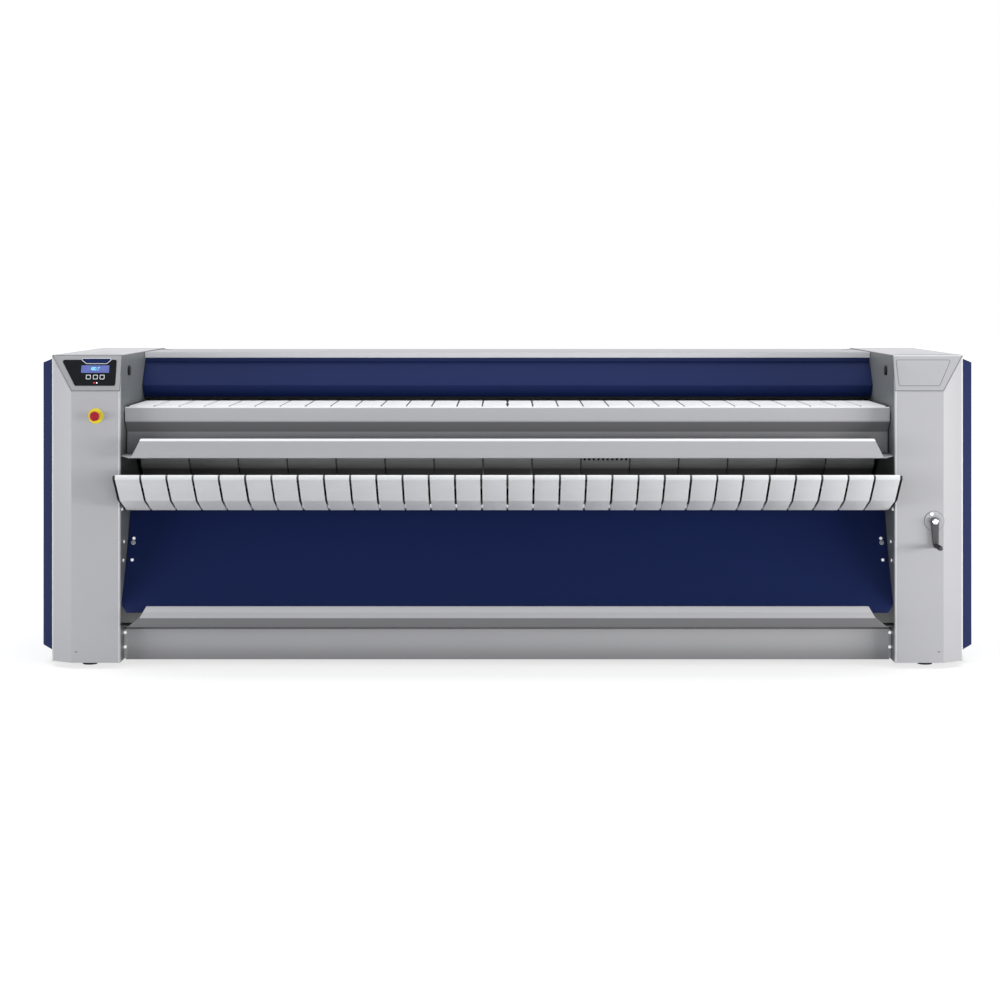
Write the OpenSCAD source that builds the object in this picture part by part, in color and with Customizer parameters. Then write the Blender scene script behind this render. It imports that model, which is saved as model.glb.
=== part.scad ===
// Flatwork ironer: a heated cylinder between two columns, fed from a belt table above
// and emptied over a belt conveyor and a slope below. X runs along the cylinder, the
// front faces -Y, and Z is up from the floor. Most shapes are drawn from the front plane
// of the columns (y = 0) and from their lower edge (z = 0), and place() sets them down.

/* [Columns] */
// Distance between the inner faces of the two columns
bay_w = 3202; // [2600:2:3600]
// Width of a column, from its inner face to its side face
column_w = 292; // [284:2:330]
// Depth of a column
column_d = 1296; // [1290:1:1340]
// Height of a column above its feet
column_h = 1271; // [1264:1:1300]
// Width of the corner chamfer, seen from the front
chamfer_w = 90.5; // [70:0.5:110]
// Depth of the corner chamfer, and of the leaning control face above it
chamfer_d = 58; // [50:1:70]
// Height of the leaning control face
slant_h = 148; // [140:1:170]
// Sheet thickness of the covers
cover_t = 2; // [1.5:0.5:3]
// Plate thickness of the side frames
frame_t = 6; // [5:1:10]
// Depth of the front covers
cover_d = 150; // [140:1:160]
// Depth of the rear covers
rear_cover_d = 130; // [120:1:140]

/* [Feet] */
// Radius of a levelling foot
foot_r = 31; // [25:1:40]
// Height of the feet below the columns
foot_h = 24; // [18:1:40]
// Thread radius of a foot's spindle
spindle_r = 10; // [8:0.5:12]

/* [Side panels] */
// How far a side panel stands out from its column
panel_out = 57; // [45:1:70]
// Width of the straight rim of a side panel
panel_rim = 14; // [10:1:30]
// Bevel of a side panel along its front and rear edges
panel_bevel_d = 35; // [25:1:45]
// Bevel of a side panel along its upper and lower edges
panel_bevel_h = 16; // [10:1:25]

/* [Cylinder] */
// Radius of the ironing cylinder
cylinder_r = 239.5; // [225:0.5:242]
// Wall of the cylinder
cylinder_wall = 10; // [8:1:14]
// Place of the cylinder's axis in front of three quarters of the columns' depth
cylinder_lead = 102; // [96:1:106]
// Place of the cylinder's axis below the columns' top
cylinder_drop = 411; // [405:1:415]
// Radius of the hollow journals
journal_r = 40; // [36:1:50]
// Bore of the hollow journals
journal_bore_r = 30; // [28:0.5:32]

/* [Belts and rollers] */
// Gap between the belts' zone and a column
zone_margin = 16; // [12:1:40]
// Number of ironing belts
ironing_belts_n = 15; // [11:2:19]
// Number of belts on the feed table and on the exit conveyor
table_belts_n = 30; // [20:2:36]
// Gap between neighbouring belts
belt_gap = 5; // [3:0.5:8]
// Thickness of the ironing belts
ironing_belt_t = 3; // [2:0.5:4]
// Thickness of the white table belts
table_belt_t = 2; // [1.5:0.5:3]
// Radius of the nip roller
nip_roller_r = 45; // [40:1:48]
// Radius of the front return roller
front_roller_r = 46.5; // [40:0.5:48]
// Radius of the lower and upper return rollers
return_roller_r = 40; // [36:1:44]
// Radius of the tension roller
tension_roller_r = 35; // [30:1:38]
// Radius of the feed table's rollers
feed_roller_r = 22; // [18:1:24]
// Radius of the exit conveyor's rollers
exit_roller_r = 20; // [17:1:22]
// Radius of the small roller at the exit conveyor's nose
exit_nose_r = 9; // [8.5:0.5:11]
// Radius of every roller's journals
roller_journal_r = 12; // [10:0.5:13]
// Running clearance round a journal
running_fit = 0.05; // [0.02:0.01:0.1]

/* [Feed table] */
// Place of the feed table's belts below the columns' top
table_drop = 215; // [209:1:221]
// Place of the front panel behind the columns' front plane
table_panel_y = 100; // [95:1:105]
// Height of the front panel
table_panel_h = 62; // [56:1:66]

/* [Shelf and tray] */
// Reach of the upper shelf in front of the columns
shelf_reach = 96; // [80:1:110]
// Place of the upper shelf's plate below the feed table's belts
shelf_drop = 202; // [198:1:206]
// Height of the shelf's raised lip
shelf_lip_h = 77; // [60:1:84]
// Height of the tray's floor
tray_z = 149; // [145:1:155]
// Height of the front base beam
base_beam_h = 129; // [120:1:135]
// How far the slope panel bows away from a flat sheet
slope_bow = 26; // [18:1:32]

/* [Drive] */
// Seat radius of the drive belts on the cylinder's pulley
big_pulley_r = 142; // [130:1:146]
// Seat radius of the drive belts on the gearmotor's pulley
small_pulley_r = 46; // [40:1:50]
// Width of one drive belt
drive_belt_w = 13; // [10:1:15]
// Thickness of one drive belt
drive_belt_t = 8; // [6:1:9]
// Place of the hand crank from its column's inner face
crank_inset = 162; // [154:1:169]
// Place of the hand crank's axis below the columns' top
crank_drop = 685; // [679:1:691]
// Length of the hand crank between its axes
crank_arm = 100; // [85:1:110]

/* [Exhaust] */
// Outside radius of the exhaust spigot
spigot_r = 80; // [70:1:82]
// Reach of the exhaust spigot behind the column
spigot_reach = 60; // [40:1:80]
// Radius of the blower's casing
blower_r = 170; // [160:1:175]
// Width of the blower's casing
blower_w = 170; // [168:1:176]

/* [Controls] */
// Side of a control button
button_w = 22; // [18:0.5:24]
// Travel of a control button
button_travel = 1.5; // [1:0.1:2]
// Radius of the emergency stop's collar
stop_collar_r = 31.5; // [28:0.5:34]
// Radius of the emergency stop's mushroom
stop_knob_r = 20; // [17:0.5:22]
// Travel of the emergency stop
stop_travel = 4; // [3:0.5:5]

/* [Hidden] */

$fn = 64;
// Overrun of every cut past the face that it opens
over = 1;
// Gap round a fixed piece in its hole
seat_fit = 0.3;
// Gap between a belt and the roller or bed that carries it
belt_fit = 0.5;
// Extra room between the nip roller and the cylinder
nip_slack = 1;

col_in = bay_w / 2;
col_out = col_in + column_w;
flat_w = column_w - chamfer_w;
slant_angle = atan2(slant_h, chamfer_d);
slant_len = norm([chamfer_d, slant_h]);
slab_d = cover_t * slant_len / slant_h;
panel_gap = 3;
panel_w = bay_w / 2 - panel_gap;
belt_zone_w = bay_w - 2 * zone_margin;
zone_half = belt_zone_w / 2;
table_z = column_h - table_drop;
shelf_z = table_z - shelf_drop;
crank_x = col_in + crank_inset;
crank_z = column_h - crank_drop;
white = [0.86, 0.88, 0.91];
grey = [0.62, 0.62, 0.64];
steel = [0.55, 0.56, 0.58];
navy = [0.11, 0.15, 0.38];
dark = [0.16, 0.16, 0.17];

// Places of the round parts, as [y, z]
cylinder_share = 0.75;
cylinder_y = cylinder_share * column_d - cylinder_lead;
cylinder_z = column_h - cylinder_drop;
cylinder_at = [cylinder_y, cylinder_z];
nip_angle = 120;
nip_reach = cylinder_r + nip_roller_r + ironing_belt_t + 2 * belt_fit + nip_slack;
nip_at = cylinder_at + nip_reach * [cos(nip_angle), sin(nip_angle)];
front_roller_room = 150.5;
front_roller_drop = 40;
front_roller_at = cylinder_at - [cylinder_r + front_roller_room, front_roller_drop];
lower_roller_inset = 146;
lower_roller_room = 611;
lower_roller_at = [column_d - lower_roller_inset, (column_h - lower_roller_room) / 2];
tension_roller_inset = 73;
tension_roller_drop = 45;
tension_roller_at = [column_d - tension_roller_inset, cylinder_z - tension_roller_drop];
upper_roller_inset = 126;
upper_roller_rise = 230;
upper_roller_at = [column_d - upper_roller_inset, cylinder_z + upper_roller_rise];
feed_roller_inset = 36;
feed_roller_lead = 113.25;
feed_roller_z = table_z - table_belt_t - belt_fit - feed_roller_r;
feed_front_at = [table_panel_y + feed_roller_inset, feed_roller_z];
feed_rear_at = [nip_at[0] - feed_roller_lead, feed_roller_z];
exit_y = [-239, -113, 49];
exit_drop = [71, 154, 205, 154];
exit_nose_at = [exit_y[0], shelf_z - exit_drop[0]];
exit_crease_at = [exit_y[1], shelf_z - exit_drop[1]];
exit_bottom_at = [exit_y[2], shelf_z - exit_drop[2]];
exit_lead = 110;
exit_rear_at = [front_roller_at[0] - exit_lead, shelf_z - exit_drop[3]];
nose_reach = exit_nose_r + belt_fit + table_belt_t - exit_nose_at[0];
crank_at = [crank_x, crank_z];
gear_rise = 63;
motor_lead = 370;
motor_pulley_at = [cylinder_y - motor_lead, crank_z + gear_rise];
blower_shift = [-250, 50];
blower_at = lower_roller_at + blower_shift;

overall_d = nose_reach + column_d + spigot_reach;
front_y = nose_reach - overall_d / 2;

// Height of the leaning face at a depth behind the front plane
function slant_z(y) = column_h - slant_h + y * slant_h / chamfer_d;

// Unit normal on the left of the step from a to b
function left_normal(a, b) = let (d = b - a) [-d[1], d[0]] / norm(d);

// Point i of a bent line moved to its left by t, with mitred corners
function moved(p, i, t) =
    i == 0 ? p[0] + t * left_normal(p[0], p[1])
    : i == len(p) - 1 ? p[i] + t * left_normal(p[i - 1], p[i])
    : let (a = left_normal(p[i - 1], p[i]), b = left_normal(p[i], p[i + 1]))
        p[i] + t * (a + b) / (1 + a * b);

// Outline of a sheet of thickness t folded along the line p
function folded(p, t) = concat(p, [for (i = [len(p) - 1 : -1 : 0]) moved(p, i, t)]);

full_turn = 360;
turn_shift = full_turn + full_turn / 2;

// Points of the rounded corner b between a and c
function corner(a, b, c, r, n = 5) =
    let (u = (a - b) / norm(a - b), w = (c - b) / norm(c - b), half = acos(u * w) / 2,
        m = (u + w) / norm(u + w), o = b + m * r / sin(half), p = b + u * r / tan(half) - o,
        q = b + w * r / tan(half) - o, start = atan2(p[1], p[0]),
        turn = (atan2(q[1], q[0]) - start + turn_shift) % full_turn - full_turn / 2)
    [for (k = [0 : n]) o + r * [cos(start + turn * k / n), sin(start + turn * k / n)]];

// Polygon p with every corner rounded by r
function rounded(p, r) =
    [for (i = [0 : len(p) - 1]) each corner(p[(i + len(p) - 1) % len(p)], p[i], p[(i + 1) % len(p)], r)];

// Direction of the straight run between two wheels, each given as [place, signed radius]
function run_angle(a, b) =
    let (d = b[0] - a[0]) atan2(d[1], d[0]) - asin((b[1] - a[1]) / norm(d));

// Point where a run of that direction touches a wheel
function touch(w, angle) = w[0] + w[1] * [sin(angle), -cos(angle)];

// Points of the wrap round wheel w between two runs, in steps of about step degrees
function wrap(w, into, out, step) =
    let (turn = w[1] > 0 ? (out - into + 2 * full_turn) % full_turn : -((into - out + 2 * full_turn) % full_turn),
        n = ceil(abs(turn) / step))
    [for (k = [0 : n]) touch(w, into + turn * k / n)];

// Closed path of a belt round its wheels, each [place, radius, 1 inside or -1 outside the
// loop], at a distance d outward from the belt's inner face
function belt_path(wheels, t, d, step = 12) =
    let (n = len(wheels),
        w = [for (v = wheels) [v[0], v[2] > 0 ? v[1] + belt_fit + d : -(v[1] + belt_fit + t - d)]])
    [for (i = [0 : n - 1])
        each wrap(w[i], run_angle(w[(i + n - 1) % n], w[i]), run_angle(w[i], w[(i + 1) % n]),
            w[i][1] < -cylinder_r / 2 ? step / 2 : step)];

ironing_wheels = [[nip_at, nip_roller_r, 1], [cylinder_at, cylinder_r, -1],
    [front_roller_at, front_roller_r, 1], [lower_roller_at, return_roller_r, 1],
    [tension_roller_at, tension_roller_r, -1], [upper_roller_at, return_roller_r, 1]];
feed_wheels = [[feed_front_at, feed_roller_r, 1], [feed_rear_at, feed_roller_r, 1]];
exit_wheels = [[exit_nose_at, exit_nose_r, 1], [exit_crease_at, exit_roller_r, 1],
    [exit_bottom_at, exit_roller_r, 1], [exit_rear_at, exit_roller_r, 1]];
drive_wheels = [[cylinder_at, big_pulley_r, 1], [motor_pulley_at, small_pulley_r, 1]];

// Sets a shape down from the columns' front plane and lower edge
module place() translate([0, front_y, foot_h]) children();

module both_sides() {
    children();
    mirror([1, 0, 0]) children();
}

// Runs a section in the depth-height plane along the width from x0 to x1
module along_x(x0, x1)
    translate([x0, 0, 0]) rotate([90, 0, 90]) linear_extrude(x1 - x0) children();

// Round bar along the width
module bar_x(at, r, x0, x1)
    translate([x0, at[0], at[1]]) rotate([0, 90, 0]) cylinder(r = r, h = x1 - x0);

// Round bar along the depth, at a place given as [x, z]
module bar_y(at, r, y0, y1)
    translate([at[0], y0, at[1]]) rotate([-90, 0, 0]) cylinder(r = r, h = y1 - y0);

// Box between two corners
module block(a, b) translate(a) cube(b - a);

// Drawing plane of the leaning control face: x across, y up the slope, z outward
module on_slant()
    translate([0, 0, column_h - slant_h]) rotate([slant_angle, 0, 0]) children();

// Side frames: inner plate, floor plate and stand-offs for the side panel
plate_y0 = 25;
plate_inset = 20;
plate_y1 = column_d - plate_inset;
plate_top = column_h - cover_t;
floor_t = 4;
journal_room = 4;
journal_hole_r = roller_journal_r + journal_room;
cylinder_room = 20;
cylinder_hole_r = journal_r + cylinder_room;
roller_places = [nip_at, front_roller_at, lower_roller_at, tension_roller_at, upper_roller_at,
    feed_front_at, feed_rear_at, exit_bottom_at, exit_rear_at];
foot_inset = 130;
foot_y = [foot_inset, column_d - foot_inset];
boss_wall = 8;
boss_h = 20;
foot_x = col_in + column_w / 2;
standoff_r = 12;
standoff_inset = [190, 176, 90, 91];
standoff_at = [for (y = [standoff_inset[0], column_d - standoff_inset[1]], z = [standoff_inset[2],
    column_h - standoff_inset[3]]) [y, z]];
cover_pin_r = 6;
cover_pin_inset = [34, 21];
cover_pin_at = [column_d, column_h] - cover_pin_inset;
guard_pin_r = 4;
guard_pin_shift = [-73.25, 30];
guard_pin_at = [nip_at[0], table_z] + guard_pin_shift;
sensor_inset = [216, 70];
sensor_at = [sensor_inset[0], column_h - sensor_inset[1]];
sensor_stem_r = 12;
side_screws_inset = [[56, 224], [97, 363], [77, 439]];
side_screws_at = [for (p = side_screws_inset) [p[0], shelf_z - p[1]]];
screw_r = 2.5;
probe_bar_room = [35.5, 3.15];
probe_bar_share = 0.3;
probe_bar_at = cylinder_at + [-cylinder_r - probe_bar_room[0],
    probe_bar_share * cylinder_r + probe_bar_room[1]];
finger_bar_room = 40.5;
finger_bar_drop = 45;
finger_bar_at = cylinder_at - [cylinder_r + finger_bar_room, finger_bar_drop];
inlet_r = 90;

module side_plate() {
    front = plate_y0;
    low = slant_z(front - slab_d) - cover_t;
    knee = chamfer_d + slab_d;
    difference() {
        along_x(col_in, col_in + frame_t)
            polygon([[front, 0], [plate_y1, 0], [plate_y1, plate_top], [knee, plate_top], [front, low]]);
        for (p = roller_places) bar_x(p, journal_hole_r, col_in - over, col_in + frame_t + over);
        bar_x(cylinder_at, cylinder_hole_r, col_in - over, col_in + frame_t + over);
        bar_x(cover_pin_at, cover_pin_r + running_fit, col_in - over, col_in + frame_t + over);
        bar_x(guard_pin_at, guard_pin_r + running_fit, col_in - over, col_in + frame_t + over);
        bar_x(sensor_at, sensor_stem_r + seat_fit, col_in - over, col_in + frame_t + over);
        for (p = side_screws_at) bar_x(p, screw_r + seat_fit, col_in - over, col_in + frame_t + over);
    }
}

module floor_plate() {
    x0 = col_in + frame_t - over;
    edge = cover_t + seat_fit;
    difference() {
        linear_extrude(floor_t) polygon([[x0, plate_y0], [x0, plate_y1], [col_out - edge, plate_y1],
            [col_out - edge, chamfer_d + edge], [col_in + flat_w - edge, edge],
            [col_in + flat_w - edge - plate_y0, plate_y0]]);
        for (y = foot_y) translate([foot_x, y, -over]) cylinder(r = spindle_r + seat_fit,
            h = floor_t + 2 * over);
    }
    for (y = foot_y) translate([foot_x, y, floor_t]) difference() {
        cylinder(r = spindle_r + boss_wall, h = boss_h);
        translate([0, 0, -over]) cylinder(r = spindle_r + seat_fit, h = boss_h + 2 * over);
    }
}

module side_frame() {
    side_plate();
    floor_plate();
    for (p = standoff_at) bar_x(p, standoff_r, col_in + frame_t - over, col_out);
}

module left_side_frame() color(grey) place() mirror([1, 0, 0]) difference() {
    side_frame();
    bar_x(blower_at, inlet_r, col_in - over, col_in + frame_t + over);
}

module right_side_frame() color(grey) place() side_frame();

// Outer block of a column's front end, with the chamfered corner and the leaning face
module front_block(y1) {
    intersection() {
        linear_extrude(column_h)
            polygon([[col_in, 0], [col_in + flat_w, 0], [col_out, chamfer_d], [col_out, y1], [col_in, y1]]);
        along_x(col_in - over, col_out + over)
            polygon([[-over, -over], [y1 + over, -over], [y1 + over, column_h], [chamfer_d, column_h],
                [-over, slant_z(-over)]]);
    }
}

slot_w = 10;
slot_h = 3;
slot_x = 176;
slot_at = [col_in + slot_x, 45];

module front_cover() {
    wall = [[col_in, plate_y0], [col_in, 0], [col_in + flat_w, 0], [col_out, chamfer_d], [col_out, cover_d]];
    difference() {
        intersection() {
            front_block(cover_d + over);
            linear_extrude(plate_top) polygon(folded(wall, cover_t));
        }
        block([slot_at[0], -over, slot_at[1]], [slot_at[0] + slot_w, cover_t + over, slot_at[1] + slot_h]);
    }
    intersection() {
        front_block(chamfer_d + slab_d);
        on_slant() translate([col_in, -over, -cover_t]) cube([column_w, slant_len + 2 * over, cover_t]);
    }
}

// Controls on the left column: glass, display window and buttons on the leaning face
glass_share = [0.141, 0.861];
glass_v = glass_share * slant_len;
glass_t = 2;
glass_inset = [21, 188, 250];
glass_x = [for (x = glass_inset) col_in + x];
button_share = 0.376;
button_v = button_share * slant_len;
button_inset = [134, 105, 77];
button_x = [for (x = button_inset) col_in + x];
button_cap_t = 3.5;
button_rise = 0.6;
display_share = [0.497, 0.704];
display_v = display_share * slant_len;
display_inset = [50, 166];
display_x = [for (x = display_inset) col_in + x];
stop_inset = 100;
stop_drop = 251;
stop_at = [col_in + stop_inset, column_h - stop_drop];
stop_stem_r = 8;
stop_barrel_r = 11;
crank_shaft_r = 8;
bush_wall = 3.5;
bush_gap = 0.5;

module button_hole(x, fit)
    translate([-x - button_w / 2 - fit, button_v - button_w / 2 - fit, -cover_t - over])
        cube([button_w + 2 * fit, button_w + 2 * fit, glass_t + cover_t + 2 * over]);

module left_front_cover() color(grey) place() difference() {
    mirror([1, 0, 0]) front_cover();
    bar_y([-stop_at[0], stop_at[1]], stop_barrel_r + seat_fit, -over, cover_t + over);
    on_slant() {
        for (x = button_x) button_hole(x, seat_fit);
        translate([-display_x[1] - seat_fit, display_v[0] - seat_fit, -cover_t - over])
            cube([display_x[1] - display_x[0] + 2 * seat_fit, display_v[1] - display_v[0] + 2 * seat_fit,
                cover_t + 2 * over]);
    }
}

module right_front_cover() color(grey) place() difference() {
    front_cover();
    bar_y(crank_at, crank_shaft_r + bush_wall + bush_gap, -over, cover_t + over);
}

// Caps over the columns, with flanges turned down inside the frames
cap_flange_h = 33;

module top_cap() {
    y0 = chamfer_d + slab_d;
    block([col_in, y0, plate_top], [col_out, column_d, column_h]);
    block([col_out - cover_t, cover_d, plate_top - cap_flange_h], [col_out, column_d - rear_cover_d,
        plate_top + over]);
}

module column_top_caps() color(grey) place() both_sides() top_cap();

// Rear covers, with louvres, the blower's outlet and the supply gland
spigot_x = col_in + frame_t + blower_w / 2;
spigot_z = blower_at[1] + blower_r - spigot_r;
gland_inset = 60;
gland_at = [col_in + gland_inset, 150];
gland_r = 16;
louvre_n = 8;
louvre_h = 8;
louvre_z_share = 0.72;
louvre_inset = 60;

module rear_cover() {
    y0 = column_d - rear_cover_d;
    wall = [[col_out, y0], [col_out, column_d], [col_in, column_d], [col_in, plate_y1]];
    difference() {
        linear_extrude(plate_top) polygon(folded(wall, cover_t));
        for (i = [0 : louvre_n - 1]) {
            z = column_h * louvre_z_share + 3 * i * louvre_h;
            block([col_in + louvre_inset, column_d - cover_t - over, z],
                [col_out - louvre_inset, column_d + over, z + louvre_h]);
        }
    }
}

module column_rear_covers() color(grey) place() {
    rear_cover();
    difference() {
        mirror([1, 0, 0]) rear_cover();
        bar_y([-spigot_x, spigot_z], spigot_r + seat_fit, column_d - cover_t - over, column_d + over);
        bar_y([-gland_at[0], gland_at[1]], gland_r + seat_fit, column_d - cover_t - over, column_d + over);
    }
}

// Bevelled panel on the outer side of a column, hollow behind
panel_y = [foot_inset, column_d - foot_inset];
panel_z0 = 35;
panel_drop = 18;
panel_z = [panel_z0, column_h - panel_drop];

module bevelled_block(inset) {
    x1 = col_out + panel_out - inset;
    rim = col_out + panel_rim;
    y = [panel_y[0] + inset, panel_y[1] - inset];
    z = [panel_z[0] + inset, panel_z[1] - inset];
    d = panel_bevel_d;
    h = panel_bevel_h;
    x0 = col_out - (inset > 0 ? over : 0);
    intersection() {
        translate([0, 0, z[0]]) linear_extrude(z[1] - z[0])
            polygon([[x0, y[0]], [rim, y[0]], [x1, y[0] + d], [x1, y[1] - d], [rim, y[1]], [x0, y[1]]]);
        translate([0, y[1] + over, 0]) rotate([90, 0, 0]) linear_extrude(y[1] - y[0] + 2 * over)
            polygon([[x0 - over, z[0]], [rim, z[0]], [x1 + over, z[0] + h * (x1 + over - rim) / (x1 - rim)],
                [x1 + over, z[1] - h * (x1 + over - rim) / (x1 - rim)], [rim, z[1]], [x0 - over, z[1]]]);
    }
}

module side_panel() difference() {
    bevelled_block(0);
    bevelled_block(cover_t);
}

module left_side_panel() color(navy) place() mirror([1, 0, 0]) side_panel();
module right_side_panel() color(navy) place() side_panel();

// Levelling feet: pad, lock nut and spindle
pad_h = 14;
nut_h = 8;
nut_r = 17;
pad_taper = 2;
spindle_top = 32;

module levelling_feet() color(dark) place() both_sides() for (y = foot_y) translate([foot_x, y, -foot_h]) {
    cylinder(r1 = foot_r, r2 = foot_r - pad_taper, h = pad_h);
    cylinder(r = spindle_r, h = foot_h + spindle_top);
    translate([0, 0, foot_h - nut_h]) cylinder(r = nut_r, h = nut_h, $fn = 6);
}

// Channel across the front of the base, with end plates
beam_y = 90;
beam_d = 80;
beam_lip = 14;
beam_gap = 9;
beam_half = bay_w / 2 - beam_gap;
beam_t = 3;
bracket_w = 15;
bracket_d = 70;
bracket_screw_share = [0.41, 0.875];
bracket_screw_z = base_beam_h * bracket_screw_share;
screw_thread = 5;

module front_base_beam() color(grey) place() {
    difference() {
        union() {
            along_x(-beam_half, beam_half)
                polygon(folded([[beam_y + beam_d, base_beam_h - beam_lip], [beam_y + beam_d, base_beam_h],
                    [beam_y, base_beam_h], [beam_y, 0], [beam_y + beam_d, 0], [beam_y + beam_d,
                        beam_lip]], beam_t));
            both_sides() difference() {
                union() {
                    block([beam_half - over, beam_y + over, beam_t], [col_in, beam_y + bracket_d,
                        base_beam_h - beam_t]);
                    block([col_in - bracket_w, beam_y - beam_t, 2 * beam_t], [col_in, beam_y + over,
                        base_beam_h - beam_t]);
                }
                block([beam_half - over - bracket_w, beam_y + 2 * beam_t, -over],
                    [col_in - beam_t, beam_y + beam_d, base_beam_h + over]);
            }
        }
        both_sides() for (z = bracket_screw_z)
            bar_y([col_in - bracket_w / 2, z], screw_r + seat_fit, beam_y - beam_t - over,
                beam_y + 2 * beam_t + over);
    }
}

// Square tubes that tie the side frames together
tie_w = 50;
tie_t = 3;
tie_inset = [62, 106];
tie_rear_y = column_d - tie_inset[0];
front_tie_at = [300, 20];
rear_tie_z = 40;
middle_tie_drop = 230;
shelf_tie_y = 240;
shelf_tie_rise = 36;
tie_at = [front_tie_at, [tie_rear_y, rear_tie_z], [tie_rear_y, cylinder_z - middle_tie_drop],
    [tie_rear_y, column_h - tie_inset[1]], [shelf_tie_y, shelf_z + shelf_tie_rise]];

module cross_ties() color(steel) place() for (p = tie_at) along_x(-col_in, col_in) difference() {
    translate(p) square(tie_w);
    translate(p + [tie_t, tie_t]) square(tie_w - 2 * tie_t);
}

// Guard above the feed table, between the top cover and the finger guard
guard_lead = [31.25, 57.25, 137.25, 86.25, 85.25];
guard_drop = [6.3, 44, 148, 202, 197];
guard_y = [for (d = guard_lead) nip_at[0] - d];
guard_z = [for (d = guard_drop) column_h - d];
guard_line = [[guard_y[0], guard_z[0]], [guard_y[1], guard_z[0]], [guard_y[1], guard_z[1]],
    [guard_y[2], guard_z[2]], [guard_y[3], guard_z[3]], [guard_y[4], guard_z[4]]];
guard_tab_shares = [0.3, 0.7];
guard_tab = [for (s = guard_tab_shares) guard_line[2] + s * (guard_line[3] - guard_line[2])];

module upper_guard() color(navy) place() {
    along_x(-panel_w, panel_w) polygon(folded(guard_line, cover_t));
    both_sides() along_x(panel_w - 2 * cover_t, col_in) polygon(folded(guard_tab, 5 * cover_t));
}

// Feed table: front panel with its fascia, and the bed under the belts
fascia_y = 160;
fascia_h = 92;
fascia_top = shelf_z + fascia_h;
fascia_flange = 30;
panel_step = 4;
panel_top = table_z - panel_step;
bevel = 5;
hem_d = 16;
panel_line = [[table_panel_y + hem_d, panel_top], [table_panel_y + bevel, panel_top], [table_panel_y,
    panel_top - bevel],
    [table_panel_y, panel_top - table_panel_h + bevel], [table_panel_y + bevel, panel_top - table_panel_h],
    [fascia_y, fascia_top], [fascia_y, shelf_z], [fascia_y + fascia_flange, shelf_z]];

module feed_table_panel() color(grey) place() along_x(-panel_w, panel_w) polygon(folded(panel_line, cover_t));

bed_top = table_z - table_belt_t;
bed_gap = 8;
bed_fold = 22;
bed_y = [feed_front_at[0] + feed_roller_r + bed_gap, feed_rear_at[0] - feed_roller_r - bed_gap];
bed_tab_inset = 10;
bed_tab_y = [bed_y[0] + bed_tab_inset, bed_y[1] - bed_tab_inset];

module feed_bed() color(steel) place() {
    along_x(-zone_half, zone_half)
        polygon(folded([[bed_y[0], bed_top - bed_fold], [bed_y[0], bed_top], [bed_y[1], bed_top],
            [bed_y[1], bed_top - bed_fold]], -cover_t));
    both_sides()
        block([zone_half - over, bed_tab_y[0], bed_top - bed_fold], [col_in, bed_tab_y[1],
            bed_top - cover_t]);
}

// Bands side by side over the belt zone
module belts(n, wheels, t) {
    pitch = belt_zone_w / n;
    for (i = [0 : n - 1])
        along_x(i * pitch - zone_half + belt_gap / 2,
            (i + 1) * pitch - zone_half - belt_gap / 2) difference() {
            polygon(belt_path(wheels, t, t));
            polygon(belt_path(wheels, t, 0));
        }
}

module feed_belts() color(white) place() belts(table_belts_n, feed_wheels, table_belt_t);
module exit_belts() color(white) place() belts(table_belts_n, exit_wheels, table_belt_t);
module ironing_belts() color(dark) place() belts(ironing_belts_n, ironing_wheels, ironing_belt_t);

// Shelf below the feed table, its corners cut back and its lip ends cut aslant
shelf_corner_w = 51;
shelf_corner_x = col_in - shelf_corner_w;
shelf_cut_y = 33;
shelf_lip_inset = [61, 99];
shelf_lip_x = [for (x = shelf_lip_inset) col_in - x];
hem = 12;
hem_turn = 6;
cut_reach = 4 * shelf_reach;

module shelf_lip_outline(z0, z1, x0, x1)
    translate([0, cut_reach, 0]) rotate([90, 0, 0]) linear_extrude(2 * cut_reach)
        polygon([[-x0, z0], [x0, z0], [x1, z1], [x1, z1 + hem], [-x1, z1 + hem], [-x1, z1]]);

module upper_shelf() color(grey) place() {
    lip_z = shelf_z + shelf_lip_h;
    intersection() {
        along_x(-col_in, col_in)
            polygon(folded([[hem_turn - shelf_reach, lip_z - hem], [hem_turn - shelf_reach, lip_z],
                [-shelf_reach, lip_z], [-shelf_reach, shelf_z + cover_t], [cover_t - shelf_reach, shelf_z],
                [fascia_y - over, shelf_z]], -cover_t));
        union() {
            shelf_lip_outline(shelf_z + cover_t, lip_z, shelf_lip_x[0], shelf_lip_x[1]);
            translate([0, 0, shelf_z - 2 * cover_t]) linear_extrude(3 * cover_t)
                polygon([[-col_in, fascia_y], [-col_in, shelf_cut_y], [-shelf_corner_x, -shelf_reach - over],
                    [shelf_corner_x, -shelf_reach - over], [col_in, shelf_cut_y], [col_in, fascia_y]]);
        }
    }
    along_x(-col_in, col_in)
        polygon(folded([[fascia_y - 2 * over, shelf_z], [shelf_tie_y + tie_w, shelf_z],
            [shelf_tie_y + tie_w, tie_at[4][1]]], -cover_t));
}

// Exit conveyor: cheeks, bed plate under the upper run, nose bar at the crease
cheek_t = 4;
cheek_gap = 2;
exit_cheek_x = [zone_half + cheek_gap, zone_half + cheek_gap + cheek_t];
exit_journal_r = 6;
exit_bar_lead = [220, 160];
exit_bar_drop = [169, 151];
exit_bar_y = [for (d = exit_bar_lead) exit_rear_at[0] - d];
exit_bar_z = [for (d = exit_bar_drop) shelf_z - d];
exit_tab_y = [90, 190];
exit_tab_drop = [182, 164];
exit_tab_z = [for (d = exit_tab_drop) shelf_z - d];
journal_gap = 2;
plate_gap = 4;

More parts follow.
